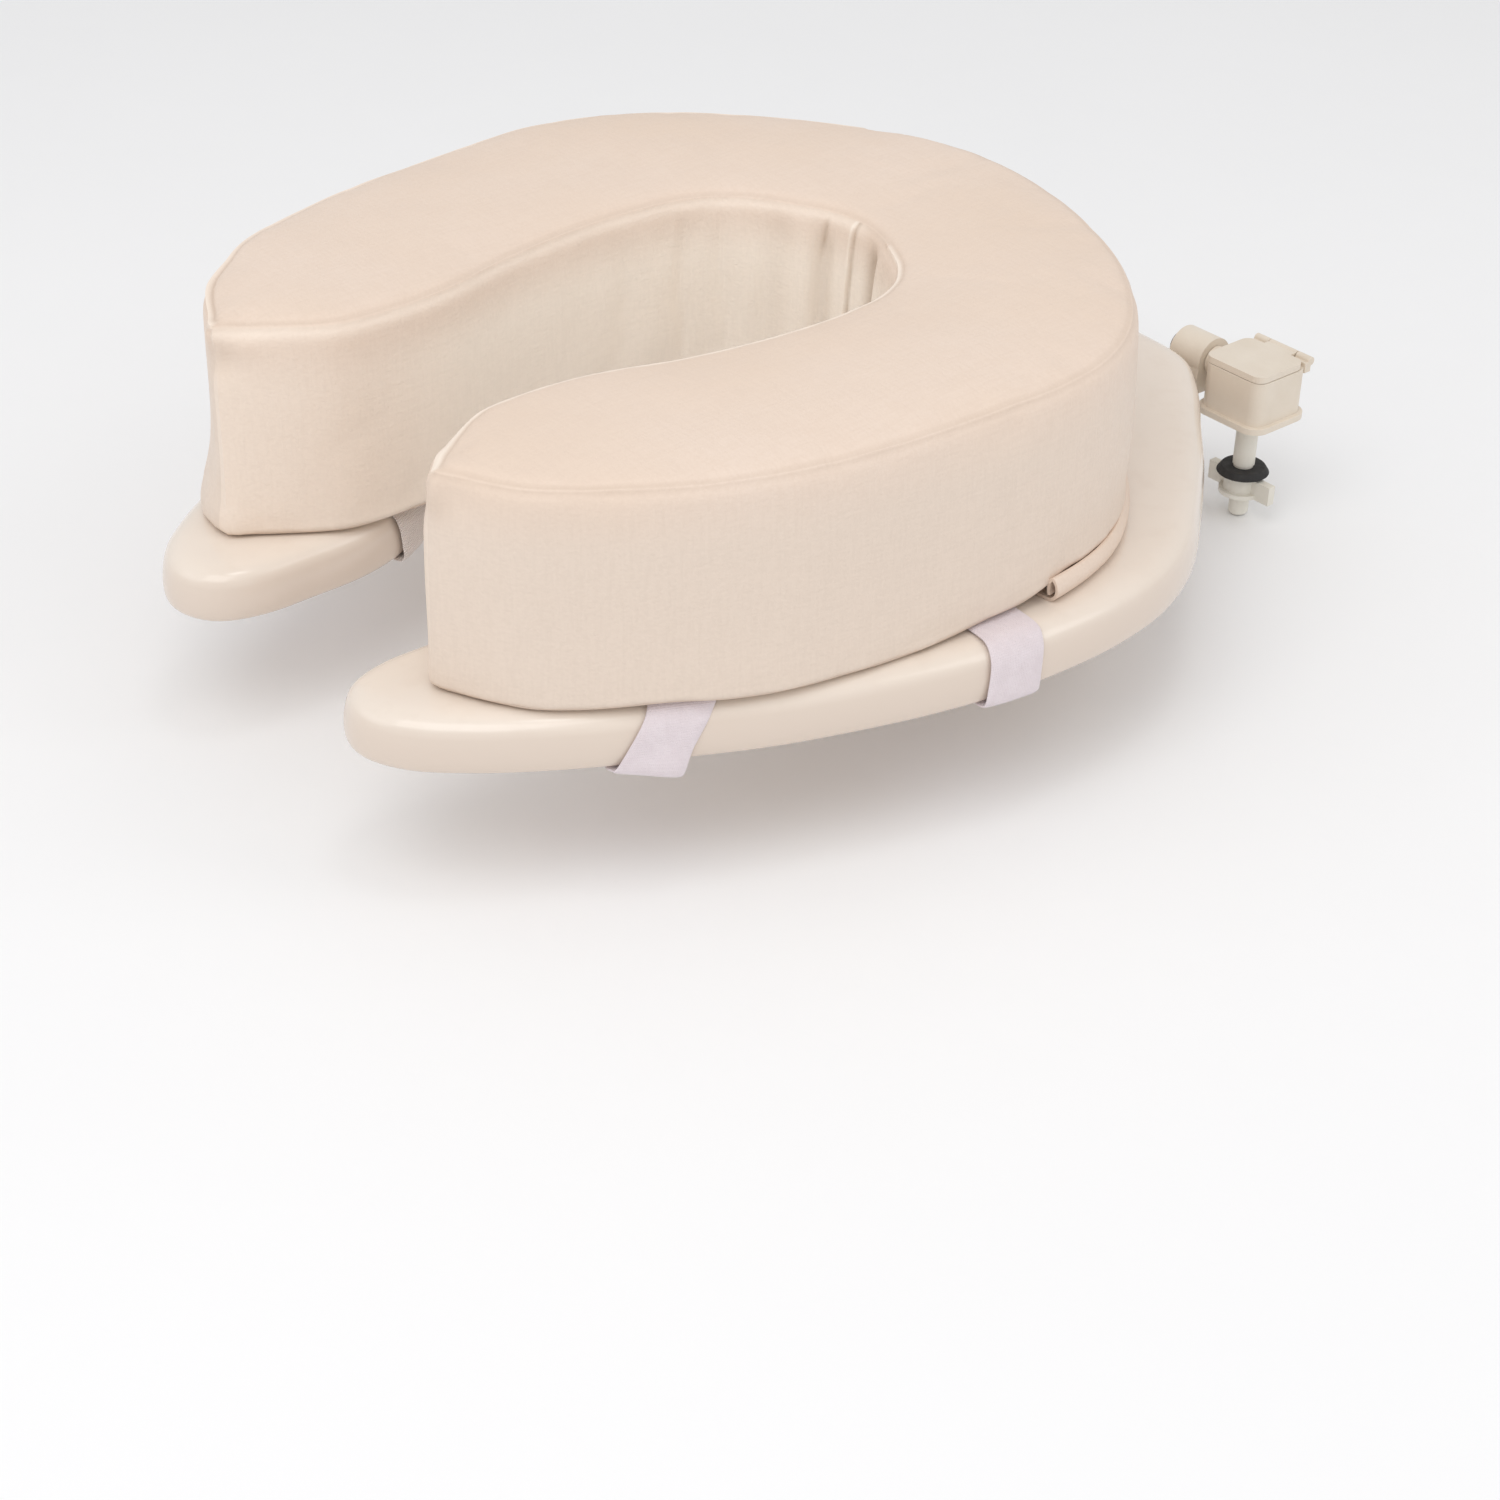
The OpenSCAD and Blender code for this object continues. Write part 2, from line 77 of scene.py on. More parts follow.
def bell(offset, width, power=2):
    """1 at no offset, falling to 1/e at the width."""
    return np.exp(-(offset / width) ** power)


def wobble(x, y, z, octaves=2):
    """Smooth repeatable noise for arrays, about -1 to 1."""
    x, y, z = np.broadcast_arrays(
        np.asarray(x, float), np.asarray(y, float), np.asarray(z, float)
    )
    out = np.empty(x.size)
    for i, (a, b, c) in enumerate(zip(x.ravel(), y.ravel(), z.ravel())):
        value, strength, pitch = 0.0, 1.0, 1.0
        for _ in range(octaves):
            value += strength * noise.noise((a * pitch, b * pitch, c * pitch + 3.7))
            strength *= 0.5
            pitch *= 2.03
        out[i] = value
    return out.reshape(x.shape)


def unit(vectors):
    return vectors / np.linalg.norm(vectors, axis=-1, keepdims=True)


def turn_left(vectors):
    """Plan vectors turned a quarter turn to the left."""
    return np.stack([-vectors[..., 1], vectors[..., 0]], -1)


def loop_outward(loop):
    """Outward directions of a closed loop that runs clockwise seen from above."""
    return turn_left(unit(np.roll(loop, -1, 0) - np.roll(loop, 1, 0)))


# ---------------------------------------------------------------- curves

def knot(a, b):
    return max(np.linalg.norm(b - a), 1e-3) ** 0.5


def between(a, b, t, t_a, t_b):
    return (t_b - t) / (t_b - t_a) * a + (t - t_a) / (t_b - t_a) * b


def curve_point(before, start, end, after, share):
    """Point on the centripetal Catmull-Rom curve from start to end."""
    t1 = knot(before, start)
    t2 = t1 + knot(start, end)
    t3 = t2 + knot(end, after)
    t = t1 + (t2 - t1) * share
    first = between(before, start, t, 0.0, t1)
    middle = between(start, end, t, t1, t2)
    last = between(end, after, t, t2, t3)
    return between(between(first, middle, t, 0.0, t2), between(middle, last, t, t1, t3), t, t1, t2)


def smooth_open(points, steps, mirror_start=False):
    points = [np.array(p, float) for p in points]
    last = len(points) - 1
    curve = []
    for i in range(last):
        if i > 0:
            before = points[i - 1]
        elif mirror_start:
            before = points[1] * MIRROR
        else:
            before = 2 * points[0] - points[1]
        after = points[i + 2] if i + 1 < last else 2 * points[i + 1] - points[i]
        for j in range(steps):
            curve.append(curve_point(before, points[i], points[i + 1], after, j / steps))
    return np.array(curve + [points[-1]])


def smooth_closed(points, steps):
    points = [np.array(p, float) for p in points]
    count = len(points)
    return np.array(
        [
            curve_point(points[i - 1], points[i], points[(i + 1) % count],
                        points[(i + 2) % count], j / steps)
            for i in range(count)
            for j in range(steps)
        ]
    )


class Path:
    """A line of points that can be read by the distance along it."""

    def __init__(self, points):
        self.points = points
        steps = np.linalg.norm(np.diff(points, axis=0), axis=1)
        self.arcs = np.concatenate([[0.0], np.cumsum(steps)])
        self.length = self.arcs[-1]

    def at(self, distance):
        return np.stack([np.interp(distance, self.arcs, c) for c in self.points.T], -1)


# ------------------------------------------------------- outlines, fitted to the CAD

RING_LOW, RING_HIGH = box("seat_ring")
RING_FOOT, RING_TOP = RING_LOW[2], RING_HIGH[2]
# the ring's outline is drawn 364 wide, reaching 468 forward
RING_SCALE_X = (RING_HIGH[0] - RING_LOW[0]) / 364.0
RING_SCALE_Y = RING_LOW[1] / -468.0

BAND_LOW, BAND_HIGH = box("cover_outer_band")
TIP_Y = BAND_LOW[1]
CUSHION_FOOT, CUSHION_TOP = BAND_LOW[2], BAND_HIGH[2]
# the cushion's outline is drawn 320 wide and 345 deep
CUSHION_SCALE_X = (BAND_HIGH[0] - BAND_LOW[0]) / 320.0
CUSHION_SCALE_Y = (BAND_HIGH[1] - BAND_LOW[1]) / 345.0


def on_cushion(x, y):
    """Place on the cushion's plan: x from the middle, y back from the front tips."""
    return x * CUSHION_SCALE_X, TIP_Y + y * CUSHION_SCALE_Y


# right half of the ring: x, distance forward of y = 0; from the back edge round the front
# tip to the back of the opening
RING_HALF = [
    (0, 14), (26, 14.5), (48, 18), (66, 31), (88, 53), (110, 75), (138, 107),
    (162, 138), (176, 169), (181.5, 200), (182, 228), (179.5, 258),
    (173.5, 288), (164.5, 318), (153.5, 348), (141, 374), (127, 402),
    (112, 427), (98, 446), (83, 461), (64, 468), (46, 460.5), (38.7, 442),
    (38.5, 420), (39.5, 396), (46, 374), (62, 349), (82, 321), (99, 290),
    (110, 255), (112.5, 220), (108, 184), (93, 148), (70, 122), (38, 104),
    (0, 98),
]
ring_half = [(x * RING_SCALE_X, -y * RING_SCALE_Y) for x, y in RING_HALF]
ring_outline = ring_half + [(-x, y) for x, y in ring_half[-2:0:-1]]

# right half of the cushion's edges: x, distance back from the tip; from the back to the tip
CUSHION_OUTER = [
    (0, 345), (33, 341), (64, 330.5), (93, 316), (118.5, 297), (140, 274),
    (154, 247.5), (160, 216), (160, 183.5), (158.5, 150), (154.5, 118),
    (147, 88), (134, 59), (119, 36), (103, 17), (72, 0),
]
CUSHION_INNER = [
    (0, 259), (15, 256.5), (29, 249.5), (42, 242), (53, 231), (60, 216),
    (62.5, 198), (63, 179), (61, 155), (55, 121), (48, 97), (44.5, 78),
    (44, 56), (46.5, 38), (72, 0),
]


def half_edge(points):
    return smooth_open([on_cushion(x, y) for x, y in points], 14, mirror_start=True)


def whole_edge(half):
    """Edge from the left tip, round the back, to the right tip."""
    return Path(np.concatenate([(half * MIRROR)[::-1][:-1], half]))


outer_half = half_edge(CUSHION_OUTER)
OUTER = whole_edge(outer_half)
INNER = whole_edge(half_edge(CUSHION_INNER))


# ------------------------------------------------------------ mesh helpers

def new_object(name, points, faces, sharp_angle=None):
    mesh = bpy.data.meshes.new(name)
    mesh.from_pydata([tuple(p) for p in np.asarray(points, float) / 1000.0], [], faces)
    mesh.validate()
    mesh.update()
    smooth_faces(mesh)
    if sharp_angle is not None:
        mesh.set_sharp_from_angle(angle=math.radians(sharp_angle))
    ob = bpy.data.objects.new(name, mesh)
    bpy.context.scene.collection.objects.link(ob)
    return ob


def smooth_faces(mesh, smooth=True):
    for face in mesh.polygons:
        face.use_smooth = smooth


def coords(ob):
    values = np.empty(len(ob.data.vertices) * 3)
    ob.data.vertices.foreach_get("co", values)
    return values.reshape(-1, 3) * 1000.0


def set_coords(ob, points):
    ob.data.vertices.foreach_set("co", (np.asarray(points) / 1000.0).ravel())
    ob.data.update()


def normals(ob):
    values = np.empty(len(ob.data.vertices) * 3, np.float32)
    ob.data.vertex_normals.foreach_get("vector", values)
    return values.reshape(-1, 3).astype(float)


def add_point_values(ob, name, values):
    layer = ob.data.attributes.new(name, "FLOAT", "POINT")
    layer.data.foreach_set("value", np.asarray(values).astype(np.float32))


def add_cloth_uv(ob, vertex_uv):
    layer = ob.data.uv_layers.new(name="cloth")
    index = np.empty(len(ob.data.loops), int)
    ob.data.loops.foreach_get("vertex_index", index)
    layer.data.foreach_set("uv", vertex_uv[index].ravel())


def face_outward(ob, merge=False):
    bm = bmesh.new()
    bm.from_mesh(ob.data)
    if merge:
        bmesh.ops.remove_doubles(bm, verts=bm.verts, dist=1e-6)
    bmesh.ops.recalc_face_normals(bm, faces=bm.faces)
    bm.to_mesh(ob.data)
    bm.free()


def apply_all(ob):
    deps = bpy.context.evaluated_depsgraph_get()
    mesh = bpy.data.meshes.new_from_object(ob.evaluated_get(deps), depsgraph=deps)
    old = ob.data
    ob.modifiers.clear()
    ob.data = mesh
    mesh.name = ob.name
    bpy.data.meshes.remove(old)


def subdivide(ob):
    sub = ob.modifiers.new("Subdivision", "SUBSURF")
    sub.levels = sub.render_levels = 1
    apply_all(ob)


def dress(ob, material):
    ob.data.materials.clear()
    ob.data.materials.append(material)


def add_to_seat(ob, material, node):
    dress(ob, material)
    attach(ob, "seat")
    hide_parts(node)


# ------------------------------------------------------------ material helpers

def srgb(*channels):
    """Linear colour from 0-255 sRGB channels."""
    def linear(c):
        return c / 12.92 if c <= 0.04045 else ((c + 0.055) / 1.055) ** 2.4
    return tuple(linear(v / 255.0) for v in channels) + (1.0,)


def darker(colour, steps):
    return srgb(*(c - step for c, step in zip(colour, steps)))


class Material:
    """A procedural surface: a Principled BSDF and a few helpers to drive it."""

    def __init__(self, name, **values):
        self.data = bpy.data.materials.new(name)
        self.data.use_nodes = True
        self.tree = self.data.node_tree
        self.tree.nodes.clear()
        output = self.node("ShaderNodeOutputMaterial")
        self.shader = self.node("ShaderNodeBsdfPrincipled", **values)
        self.link(self.shader.outputs[0], output.inputs[0])
        places = self.node("ShaderNodeTexCoord")
        self.object_space = places.outputs["Object"]
        self.uv = places.outputs["UV"]
        self.normal = None

    def node(self, kind, vector=None, **values):
        """New node; values are its inputs, with spaces written as underscores."""
        node = self.tree.nodes.new(kind)
        for key, value in values.items():
            node.inputs[key.replace("_", " ")].default_value = value
        if vector is not None:
            self.link(vector, node.inputs["Vector"])
        return node

    def link(self, source, target):
        self.tree.links.new(source, target)

    def noise(self, scale, detail=3.0, rough=0.5, distort=0.0, vector=None):
        node = self.node("ShaderNodeTexNoise", vector or self.object_space, Scale=scale,
                         Detail=detail, Roughness=rough, Distortion=distort)
        return node.outputs["Fac"]

    def cells(self, scale, feature="SMOOTH_F1"):
        node = self.node("ShaderNodeTexVoronoi", self.object_space, Scale=scale)
        node.feature = feature
        if feature == "SMOOTH_F1":
            node.inputs["Smoothness"].default_value = 0.4
        return node.outputs["Distance"]

    def wave(self, scale, direction, distort=0.0):
        node = self.node("ShaderNodeTexWave", self.uv, Scale=scale, Distortion=distort)
        node.bands_direction = direction
        return node.outputs["Fac"]

    def attribute(self, name):
        node = self.node("ShaderNodeAttribute")
        node.attribute_name = name
        return node.outputs["Fac"]

    def stretch(self, x, y, z):
        return self.node("ShaderNodeMapping", self.object_space, Scale=(x, y, z)).outputs[0]

    def remap(self, value, span, to=(0.0, 1.0)):
        node = self.node("ShaderNodeMapRange", From_Min=span[0], From_Max=span[1],
                         To_Min=to[0], To_Max=to[1])
        self.link(value, node.inputs["Value"])
        return node.outputs["Result"]

    def math(self, operation, a, b):
        node = self.node("ShaderNodeMath")
        node.operation = operation
        self.link(a, node.inputs[0])
        self.link(b, node.inputs[1])
        return node.outputs[0]

    def mix(self, factor, a, b):
        """Mix of two colours, each a value or a socket."""
        node = self.node("ShaderNodeMix")
        node.data_type = "RGBA"
        self.link(factor, node.inputs[0])
        for i, colour in ((6, a), (7, b)):
            if isinstance(colour, tuple):
                node.inputs[i].default_value = colour
            else:
                self.link(colour, node.inputs[i])
        return node.outputs[2]

    def colour(self, value):
        self.link(value, self.shader.inputs["Base Color"])

    def rough(self, value, to, span=(0.3, 0.7)):
        self.link(self.remap(value, span, to), self.shader.inputs["Roughness"])

    def bump(self, height, distance, strength):
        """Adds a bump on top of the earlier ones."""
        node = self.node("ShaderNodeBump", Strength=strength, Distance=distance)
        self.link(height, node.inputs["Height"])
        if self.normal is not None:
            self.link(self.normal, node.inputs["Normal"])
        self.normal = node.outputs[0]
        self.link(self.normal, self.shader.inputs["Normal"])


# ------------------------------------------------------------ materials

def vinyl(name, base, dark, deep=None):
    """Soft coated cloth: a fine linen grain under a satin skin, with seams a little darker.

    Mesh attributes: soil darkens, as dirt in the seams and as painted shade in folds, creases,
    dimples and along the foot; worn lightens, as a painted highlight on seam ridges and the lapped
    seam; deep tones the lower wall, lighter on the inner band as painted light.
    """
    mat = Material(name, Specular_IOR_Level=0.38, Coat_Weight=0.04, Coat_Roughness=0.45)
    thread_tone = dict(span=(1.25, 1.8), to=(0.0, 0.34))
    wide = mat.noise(scale=9.0, detail=2.0)
    blotches = mat.noise(scale=55.0, rough=0.6)
    tone = mat.mix(mat.remap(wide, span=(0.32, 0.68)), srgb(*base), darker(base, (3, 5, 8)))
    tone = mat.mix(mat.remap(blotches, span=(0.45, 0.78), to=(0.0, 0.3)), tone,
                   darker(base, (6, 8, 10)))
    threads = [
        mat.noise(scale=760.0, detail=1.0, vector=mat.stretch(*stretch))
        for stretch in ((0.1, 1, 1), (1, 0.1, 1), (1, 1, 0.1))
    ]
    weave = mat.math("ADD", mat.math("ADD", threads[0], threads[1]), threads[2])
    tone = mat.mix(mat.remap(weave, **thread_tone), tone, darker(base, (9, 11, 13)))
    # deep mixes in the lower-wall tone; on the inner band that tone is a lighter painted light
    if deep is not None:
        tone = mat.mix(
            mat.attribute("deep"), tone,
            mat.mix(mat.remap(weave, **thread_tone), srgb(*deep), darker(deep, (10, 10, 10))),
        )
    # worn mixes towards near-white: a painted highlight on the seam ridges and the lapped seam
    tone = mat.mix(mat.attribute("painted_highlight"), tone, srgb(255, 243, 230))
    # soil mixes towards the dark colour: dirt in the seams and painted shade in folds, creases,
    # dimples and along the foot
    mat.colour(mat.mix(mat.remap(mat.attribute("soil_and_shade"), span=(0.0, 1.0)), tone, srgb(*dark)))
    mat.rough(mat.noise(scale=140.0, rough=0.6), to=(0.42, 0.56))
    mat.bump(weave, distance=0.00022, strength=0.5)
    mat.bump(mat.cells(scale=620.0), distance=0.00012, strength=0.4)
    mat.bump(mat.noise(scale=38.0, rough=0.55), distance=0.0010, strength=0.28)
    return mat.data


def enamel():
    """Glossy ring finish, toned on its sides by the mesh attribute side."""
    mat = Material("ring_enamel", Roughness=0.2, Specular_IOR_Level=0.42, Coat_Weight=0.35,
                   Coat_Roughness=0.06)
    tone = mat.mix(mat.remap(mat.noise(scale=7.0), span=(0.35, 0.65)),
                   srgb(239, 227, 215), srgb(235, 222, 209))
    tone = mat.mix(mat.remap(mat.noise(scale=70.0, rough=0.6), span=(0.5, 0.8), to=(0.0, 0.3)),
                   tone, srgb(224, 207, 192))
    # the upright sides get painted shade, darker than the lighter top
    mat.colour(mat.mix(mat.remap(mat.attribute("side"), span=(0.0, 1.0)), tone,
                       srgb(224, 208, 194)))
    mat.rough(mat.noise(scale=45.0, rough=0.6), span=(0.3, 0.75), to=(0.16, 0.25))
    mat.bump(mat.noise(scale=30.0, detail=2.0), distance=0.0009, strength=0.14)
    mat.bump(mat.noise(scale=700.0, detail=2.0), distance=0.00003, strength=0.2)
    return mat.data


def moulded(name, base, dark, rough=(0.3, 0.46)):
    mat = Material(name, Specular_IOR_Level=0.45)
    mottle = mat.noise(scale=40.0, detail=4.0, rough=0.6)
    mat.colour(mat.mix(mat.remap(mottle, span=(0.3, 0.75)), srgb(*base), srgb(*dark)))
    mat.rough(mat.noise(scale=220.0), to=rough)
    mat.bump(mat.cells(scale=1400.0), distance=0.00006, strength=0.5)
    mat.bump(mat.noise(scale=120.0), distance=0.00025, strength=0.2)
    return mat.data


def steel():
    mat = Material("pin_steel", Metallic=1.0, Specular_IOR_Level=0.5)
    mat.colour(mat.mix(mat.remap(mat.noise(scale=180.0, detail=4.0), span=(0.35, 0.7)),
                       srgb(205, 206, 208), srgb(168, 168, 170)))
    mat.rough(mat.noise(scale=400.0, vector=mat.stretch(0.15, 1.0, 1.0)), to=(0.22, 0.4))
    mat.bump(mat.noise(scale=1600.0, detail=2.0, vector=mat.stretch(0.05, 1.0, 1.0)),
             distance=0.00004, strength=0.5)
    return mat.data


def rubber():
    mat = Material("washer_rubber", Specular_IOR_Level=0.3)
    mat.colour(mat.mix(mat.noise(scale=90.0, detail=4.0), srgb(44, 44, 46), srgb(62, 61, 60)))
    mat.rough(mat.noise(scale=300.0), to=(0.6, 0.85))
    mat.bump(mat.noise(scale=900.0), distance=0.0001, strength=0.6)
    return mat.data


def cut_foam():
    mat = Material("cut_foam", Specular_IOR_Level=0.2)
    pores = mat.cells(scale=520.0, feature="F1")
    mat.colour(mat.mix(mat.remap(pores, span=(0.1, 0.6)),
                       srgb(214, 198, 150), srgb(238, 228, 190)))
    mat.rough(mat.noise(scale=90.0), to=(0.85, 0.98))
    mat.bump(pores, distance=0.0008, strength=0.9)
    return mat.data


def loop_tape():
    """Brushed loop tape: a ribbed ground under a soft, matted nap."""
    base = (233, 222, 226)
    mat = Material("loop_nap", Specular_IOR_Level=0.15, Sheen_Weight=0.55, Sheen_Roughness=0.4)
    nap = mat.noise(scale=950.0, detail=5.0, rough=0.75, distort=0.8)
    matting = mat.noise(scale=170.0, detail=4.0, rough=0.65)
    ribs = mat.wave(scale=0.34, direction="X", distort=0.8)
    weft = mat.wave(scale=0.42, direction="Y", distort=0.8)
    tone = mat.mix(mat.remap(matting, span=(0.35, 0.7)), srgb(*base), srgb(227, 215, 219))
    mat.colour(mat.mix(mat.remap(nap, span=(0.55, 0.8), to=(0.0, 0.3)), tone,
                       darker(base, (16, 16, 16))))
    mat.rough(matting, to=(0.82, 0.97))
    mat.bump(nap, distance=0.00035, strength=0.6)
    mat.bump(mat.math("ADD", ribs, weft), distance=0.00018, strength=0.4)
    mat.bump(matting, distance=0.0005, strength=0.25)
    return mat.data


def hook_tape():
    """Hook tape: rows of small stiff hooks on a woven ground."""
    mat = Material("hook_rows", Specular_IOR_Level=0.35, Sheen_Weight=0.1)
    rows = mat.wave(scale=0.33, direction="X")
    columns = mat.wave(scale=0.33, direction="Y")
    knots = mat.math("MULTIPLY", rows, columns)
    mat.colour(mat.mix(mat.remap(knots, span=(0.1, 0.8)),
                       srgb(234, 222, 215), srgb(250, 240, 234)))
    mat.rough(mat.noise(scale=300.0), to=(0.5, 0.7))
    mat.bump(knots, distance=0.0006, strength=0.8)
    mat.bump(mat.noise(scale=800.0), distance=0.0002, strength=0.5)
    return mat.data


VINYL = (236, 217, 202)
VINYL_TOP = vinyl("vinyl_top", VINYL, dark=(176, 152, 130))
VINYL_BAND = vinyl("vinyl_band", VINYL, dark=(172, 148, 126), deep=(232, 215, 200))
# the inner band's deep tone is lighter than the cloth: painted light low in the opening
VINYL_INNER = vinyl("vinyl_band_inner", VINYL, dark=(178, 156, 134), deep=(252, 241, 228))
VINYL_BOTTOM = vinyl("vinyl_bottom", (222, 204, 188), dark=(160, 138, 118))
ENAMEL = enamel()
HINGE_PLASTIC = moulded("hinge_plastic", (233, 222, 207), (224, 211, 194))
BUMPER = moulded("bumper_vinyl", (214, 204, 190), (196, 185, 170), rough=(0.45, 0.6))
NYLON = moulded("bolt_nylon", (236, 232, 222), (224, 219, 207), rough=(0.34, 0.5))
STEEL = steel()
RUBBER = rubber()
FOAM = cut_foam()
LOOP_TAPE = loop_tape()
HOOK_TAPE = hook_tape()


# ---------------------------------------------------------------- the seat ring

# edge section: height, inset from the outline
RING_PROFILE = [
    (RING_FOOT, 13), (RING_FOOT + 0.05, 6), (RING_FOOT + 0.3, 3.1), (RING_FOOT + 1.05, 0.95),
    (RING_FOOT + 2.9, 0.05), (RING_FOOT + 0.36 * (RING_TOP - RING_FOOT), 0.0),
    (RING_FOOT + 0.55 * (RING_TOP - RING_FOOT), 0.6), (RING_TOP - 4.9, 2.05),
    (RING_TOP - 2.5, 4.2), (RING_TOP - 0.85, 7.4), (RING_TOP - 0.12, 11.2),
    (RING_TOP, 15.5),
]


def make_ring():
    half = 280          # steps round the right half
    across = 9          # faces across the top and bottom
    loop = smooth_closed(ring_outline, 8)
    # even spacing keeps the reflections on the edge smooth
    path = Path(np.concatenate([loop, loop[:1]]))
    right = path.at(np.linspace(0, path.length / 2, half + 1))
    right[0, 0] = right[-1, 0] = 0.0
    outline = np.concatenate([right, (right * MIRROR)[::-1][1:-1]])
    count = len(outline)
    for _ in range(2):
        outline = 0.25 * np.roll(outline, 1, 0) + 0.5 * outline + 0.25 * np.roll(outline, -1, 0)
    outward = loop_outward(outline)
    levels = [
        np.column_stack([outline - outward * inset, np.full(count, z)])
        for z, inset in smooth_open(RING_PROFILE, 2)
    ]
    points = list(np.concatenate(levels))
    faces = []
    for k in range(len(levels) - 1):
        low, high = k * count, (k + 1) * count
        for i in range(count):
            j = (i + 1) % count
            faces.append((low + j, high + j, high + i, low + i))

    # top and bottom: lines across from the outer to the inner side
    for level, is_top in ((len(levels) - 1, True), (0, False)):
        start = level * count
        for is_left in (False, True):
            lines = []
            for row in range(half // 2 + 1):
                outer, inner = row, half - row
                if is_left:
                    outer, inner = -outer % count, count - inner
                if row == half // 2:
                    # the last line shrinks to one point at the front tip
                    line = [start + outer] * (across + 1)
                elif row == 0 and is_left:
                    line = centre_line
                else:
                    line = [start + outer]
                    a, b = levels[level][outer], levels[level][inner]
                    for c in range(1, across):
                        line.append(len(points))
                        points.append(a + (b - a) * c / across)
                    line.append(start + inner)
                lines.append(line)
            centre_line = lines[0]
            for near, far in zip(lines, lines[1:]):
                for c in range(across):
                    quad = [near[c], far[c], far[c + 1], near[c + 1]]
                    quad = [v for k, v in enumerate(quad) if v != quad[k - 1]]
                    if is_left != is_top:
                        quad = quad[::-1]
                    faces.append(tuple(quad))
    ob = new_object("seat_ring_body", points, faces)
    face_outward(ob, merge=True)
    smooth_faces(ob.data)      # merging may have rebuilt some faces
    # side is 1 on the upright faces, which the enamel darkens as painted shade
    add_point_values(ob, "side", 1 - ease((normals(ob)[:, 2] - 0.15) / 0.7))
    add_to_seat(ob, ENAMEL, "seat_ring")


make_ring()


# ------------------------------------------------------------ the cushion: work mesh

TOP_RADIUS, FOOT_RADIUS = 8.0, 3.0      # of the rolled edges
FULLNESS = 1.2                          # how far the stuffed cover stands outside the outline
EDGE_TOP = CUSHION_TOP + FULLNESS       # height of the cover's top edge
EDGE_FOOT = RING_TOP + 0.35             # height of the foot that rests on the ring
WALL_HEIGHT = EDGE_TOP - EDGE_FOOT
EDGE_PLACES = (0, 1.7, 3.6, 6.0, 9.0)   # closer mesh lines beside every seam
TOP_PANEL, OUTER_BAND, INNER_BAND, BOTTOM_PANEL = range(4)


def mesh_places(length, pitch):
    """Mesh lines along a length: about a pitch apart, closer at both ends."""
    edge = EDGE_PLACES[-1]
    count = max(2, int(round((length - 2 * edge) / pitch)))
    middle = np.linspace(edge, length - edge, count + 1)[1:-1]
    return np.concatenate([EDGE_PLACES, middle, length - np.array(EDGE_PLACES)[::-1]])


def cushion_grid():
    """Plan of the panels, and the column that meets the front corner.

    Rows run from the left limb's end to the right one's, columns from outer to inner edge.
    """
    end_outer, end_inner = 36.0, 46.0   # how far the end face reaches along each edge
    width = 92.0                        # nominal width of a limb, for the columns
    blend = 62.0                        # length over which rows take the end's shape
    length = OUTER.length - 2 * end_outer
    along = mesh_places(length, 4.9)
    columns = mesh_places(width, 4.9) / width

    # matching places on the inner edge: by angle round the back, then by distance
    pivot = on_cushion(0, 200.0)[1]

    def bearing(points, end_y):
        x, y = points[:, 0], points[:, 1]
        angle = np.degrees(np.arctan2(np.abs(x), y - pivot))
        forward = 90 + (pivot - y) / (pivot - end_y) * 100
        return np.sign(x) * np.where(y > pivot, angle, forward)

    outer = OUTER.at(end_outer + along)
    outer_bearing = bearing(outer, OUTER.at(end_outer)[1])
    inner_places = np.linspace(end_inner, INNER.length - end_inner, 1200)
    inner_bearing = bearing(INNER.at(inner_places), INNER.at(end_inner)[1])
    inner_bearing = np.maximum.accumulate(inner_bearing)
    matched = np.interp(outer_bearing, inner_bearing, inner_places)
    matched[0], matched[-1] = end_inner, INNER.length - end_inner
    inner = INNER.at(matched)

    corner = int(np.argmin(np.abs(columns - end_outer / (end_outer + end_inner))))
    share = columns[corner]
    left_end = np.where(
        (columns <= share)[:, None],
        OUTER.at(end_outer * (1 - columns / share)),
        INNER.at(end_inner * (columns - share) / (1 - share)),
    )
    grid = (outer[:, None, :] * (1 - columns[None, :, None])
            + inner[:, None, :] * columns[None, :, None])
    for end, row, distance in ((left_end, 0, along), (left_end * MIRROR, -1, length - along)):
        weight = np.clip(1 - distance / blend, 0, 1) ** 1.5
        grid = grid + weight[:, None, None] * (end - grid[row])[None]
    return grid, corner


class Rim:
    """The cushion's outline: a loop from the left tip, round the outer edge, the right tip
    and the opening."""

    def __init__(self, points, outer_count):
        self.points = points
        self.outward = loop_outward(points)
        path = Path(np.concatenate([points, points[:1]]))
        self.arcs, self.length = path.arcs, path.length
        self.right_corner = self.arcs[outer_count]     # the left corner is at 0

    def measure(self, places):
        """Distance to the outline, the nearest point on it, its station and outward."""
        start, side = self.points, np.roll(self.points, -1, 0) - self.points
        side_squared = (side ** 2).sum(1)
        next_outward = np.roll(self.outward, -1, 0)
        results = []
        for k in range(0, len(places), 2000):      # in batches, to save memory
            batch = places[k : k + 2000]
            t = np.clip(((batch[:, None] - start) * side).sum(2) / side_squared, 0, 1)
            foot = start + t[..., None] * side
            gaps = np.linalg.norm(batch[:, None] - foot, axis=2)
            best = gaps.argmin(1)
            row = np.arange(len(batch))
            t = t[row, best]
            results.append((
                gaps[row, best],
                foot[row, best],
                self.arcs[best] + t * (self.arcs[best + 1] - self.arcs[best]),
                self.outward[best] * (1 - t)[:, None] + next_outward[best] * t[:, None],
            ))
        return [np.concatenate(parts) for parts in zip(*results)]


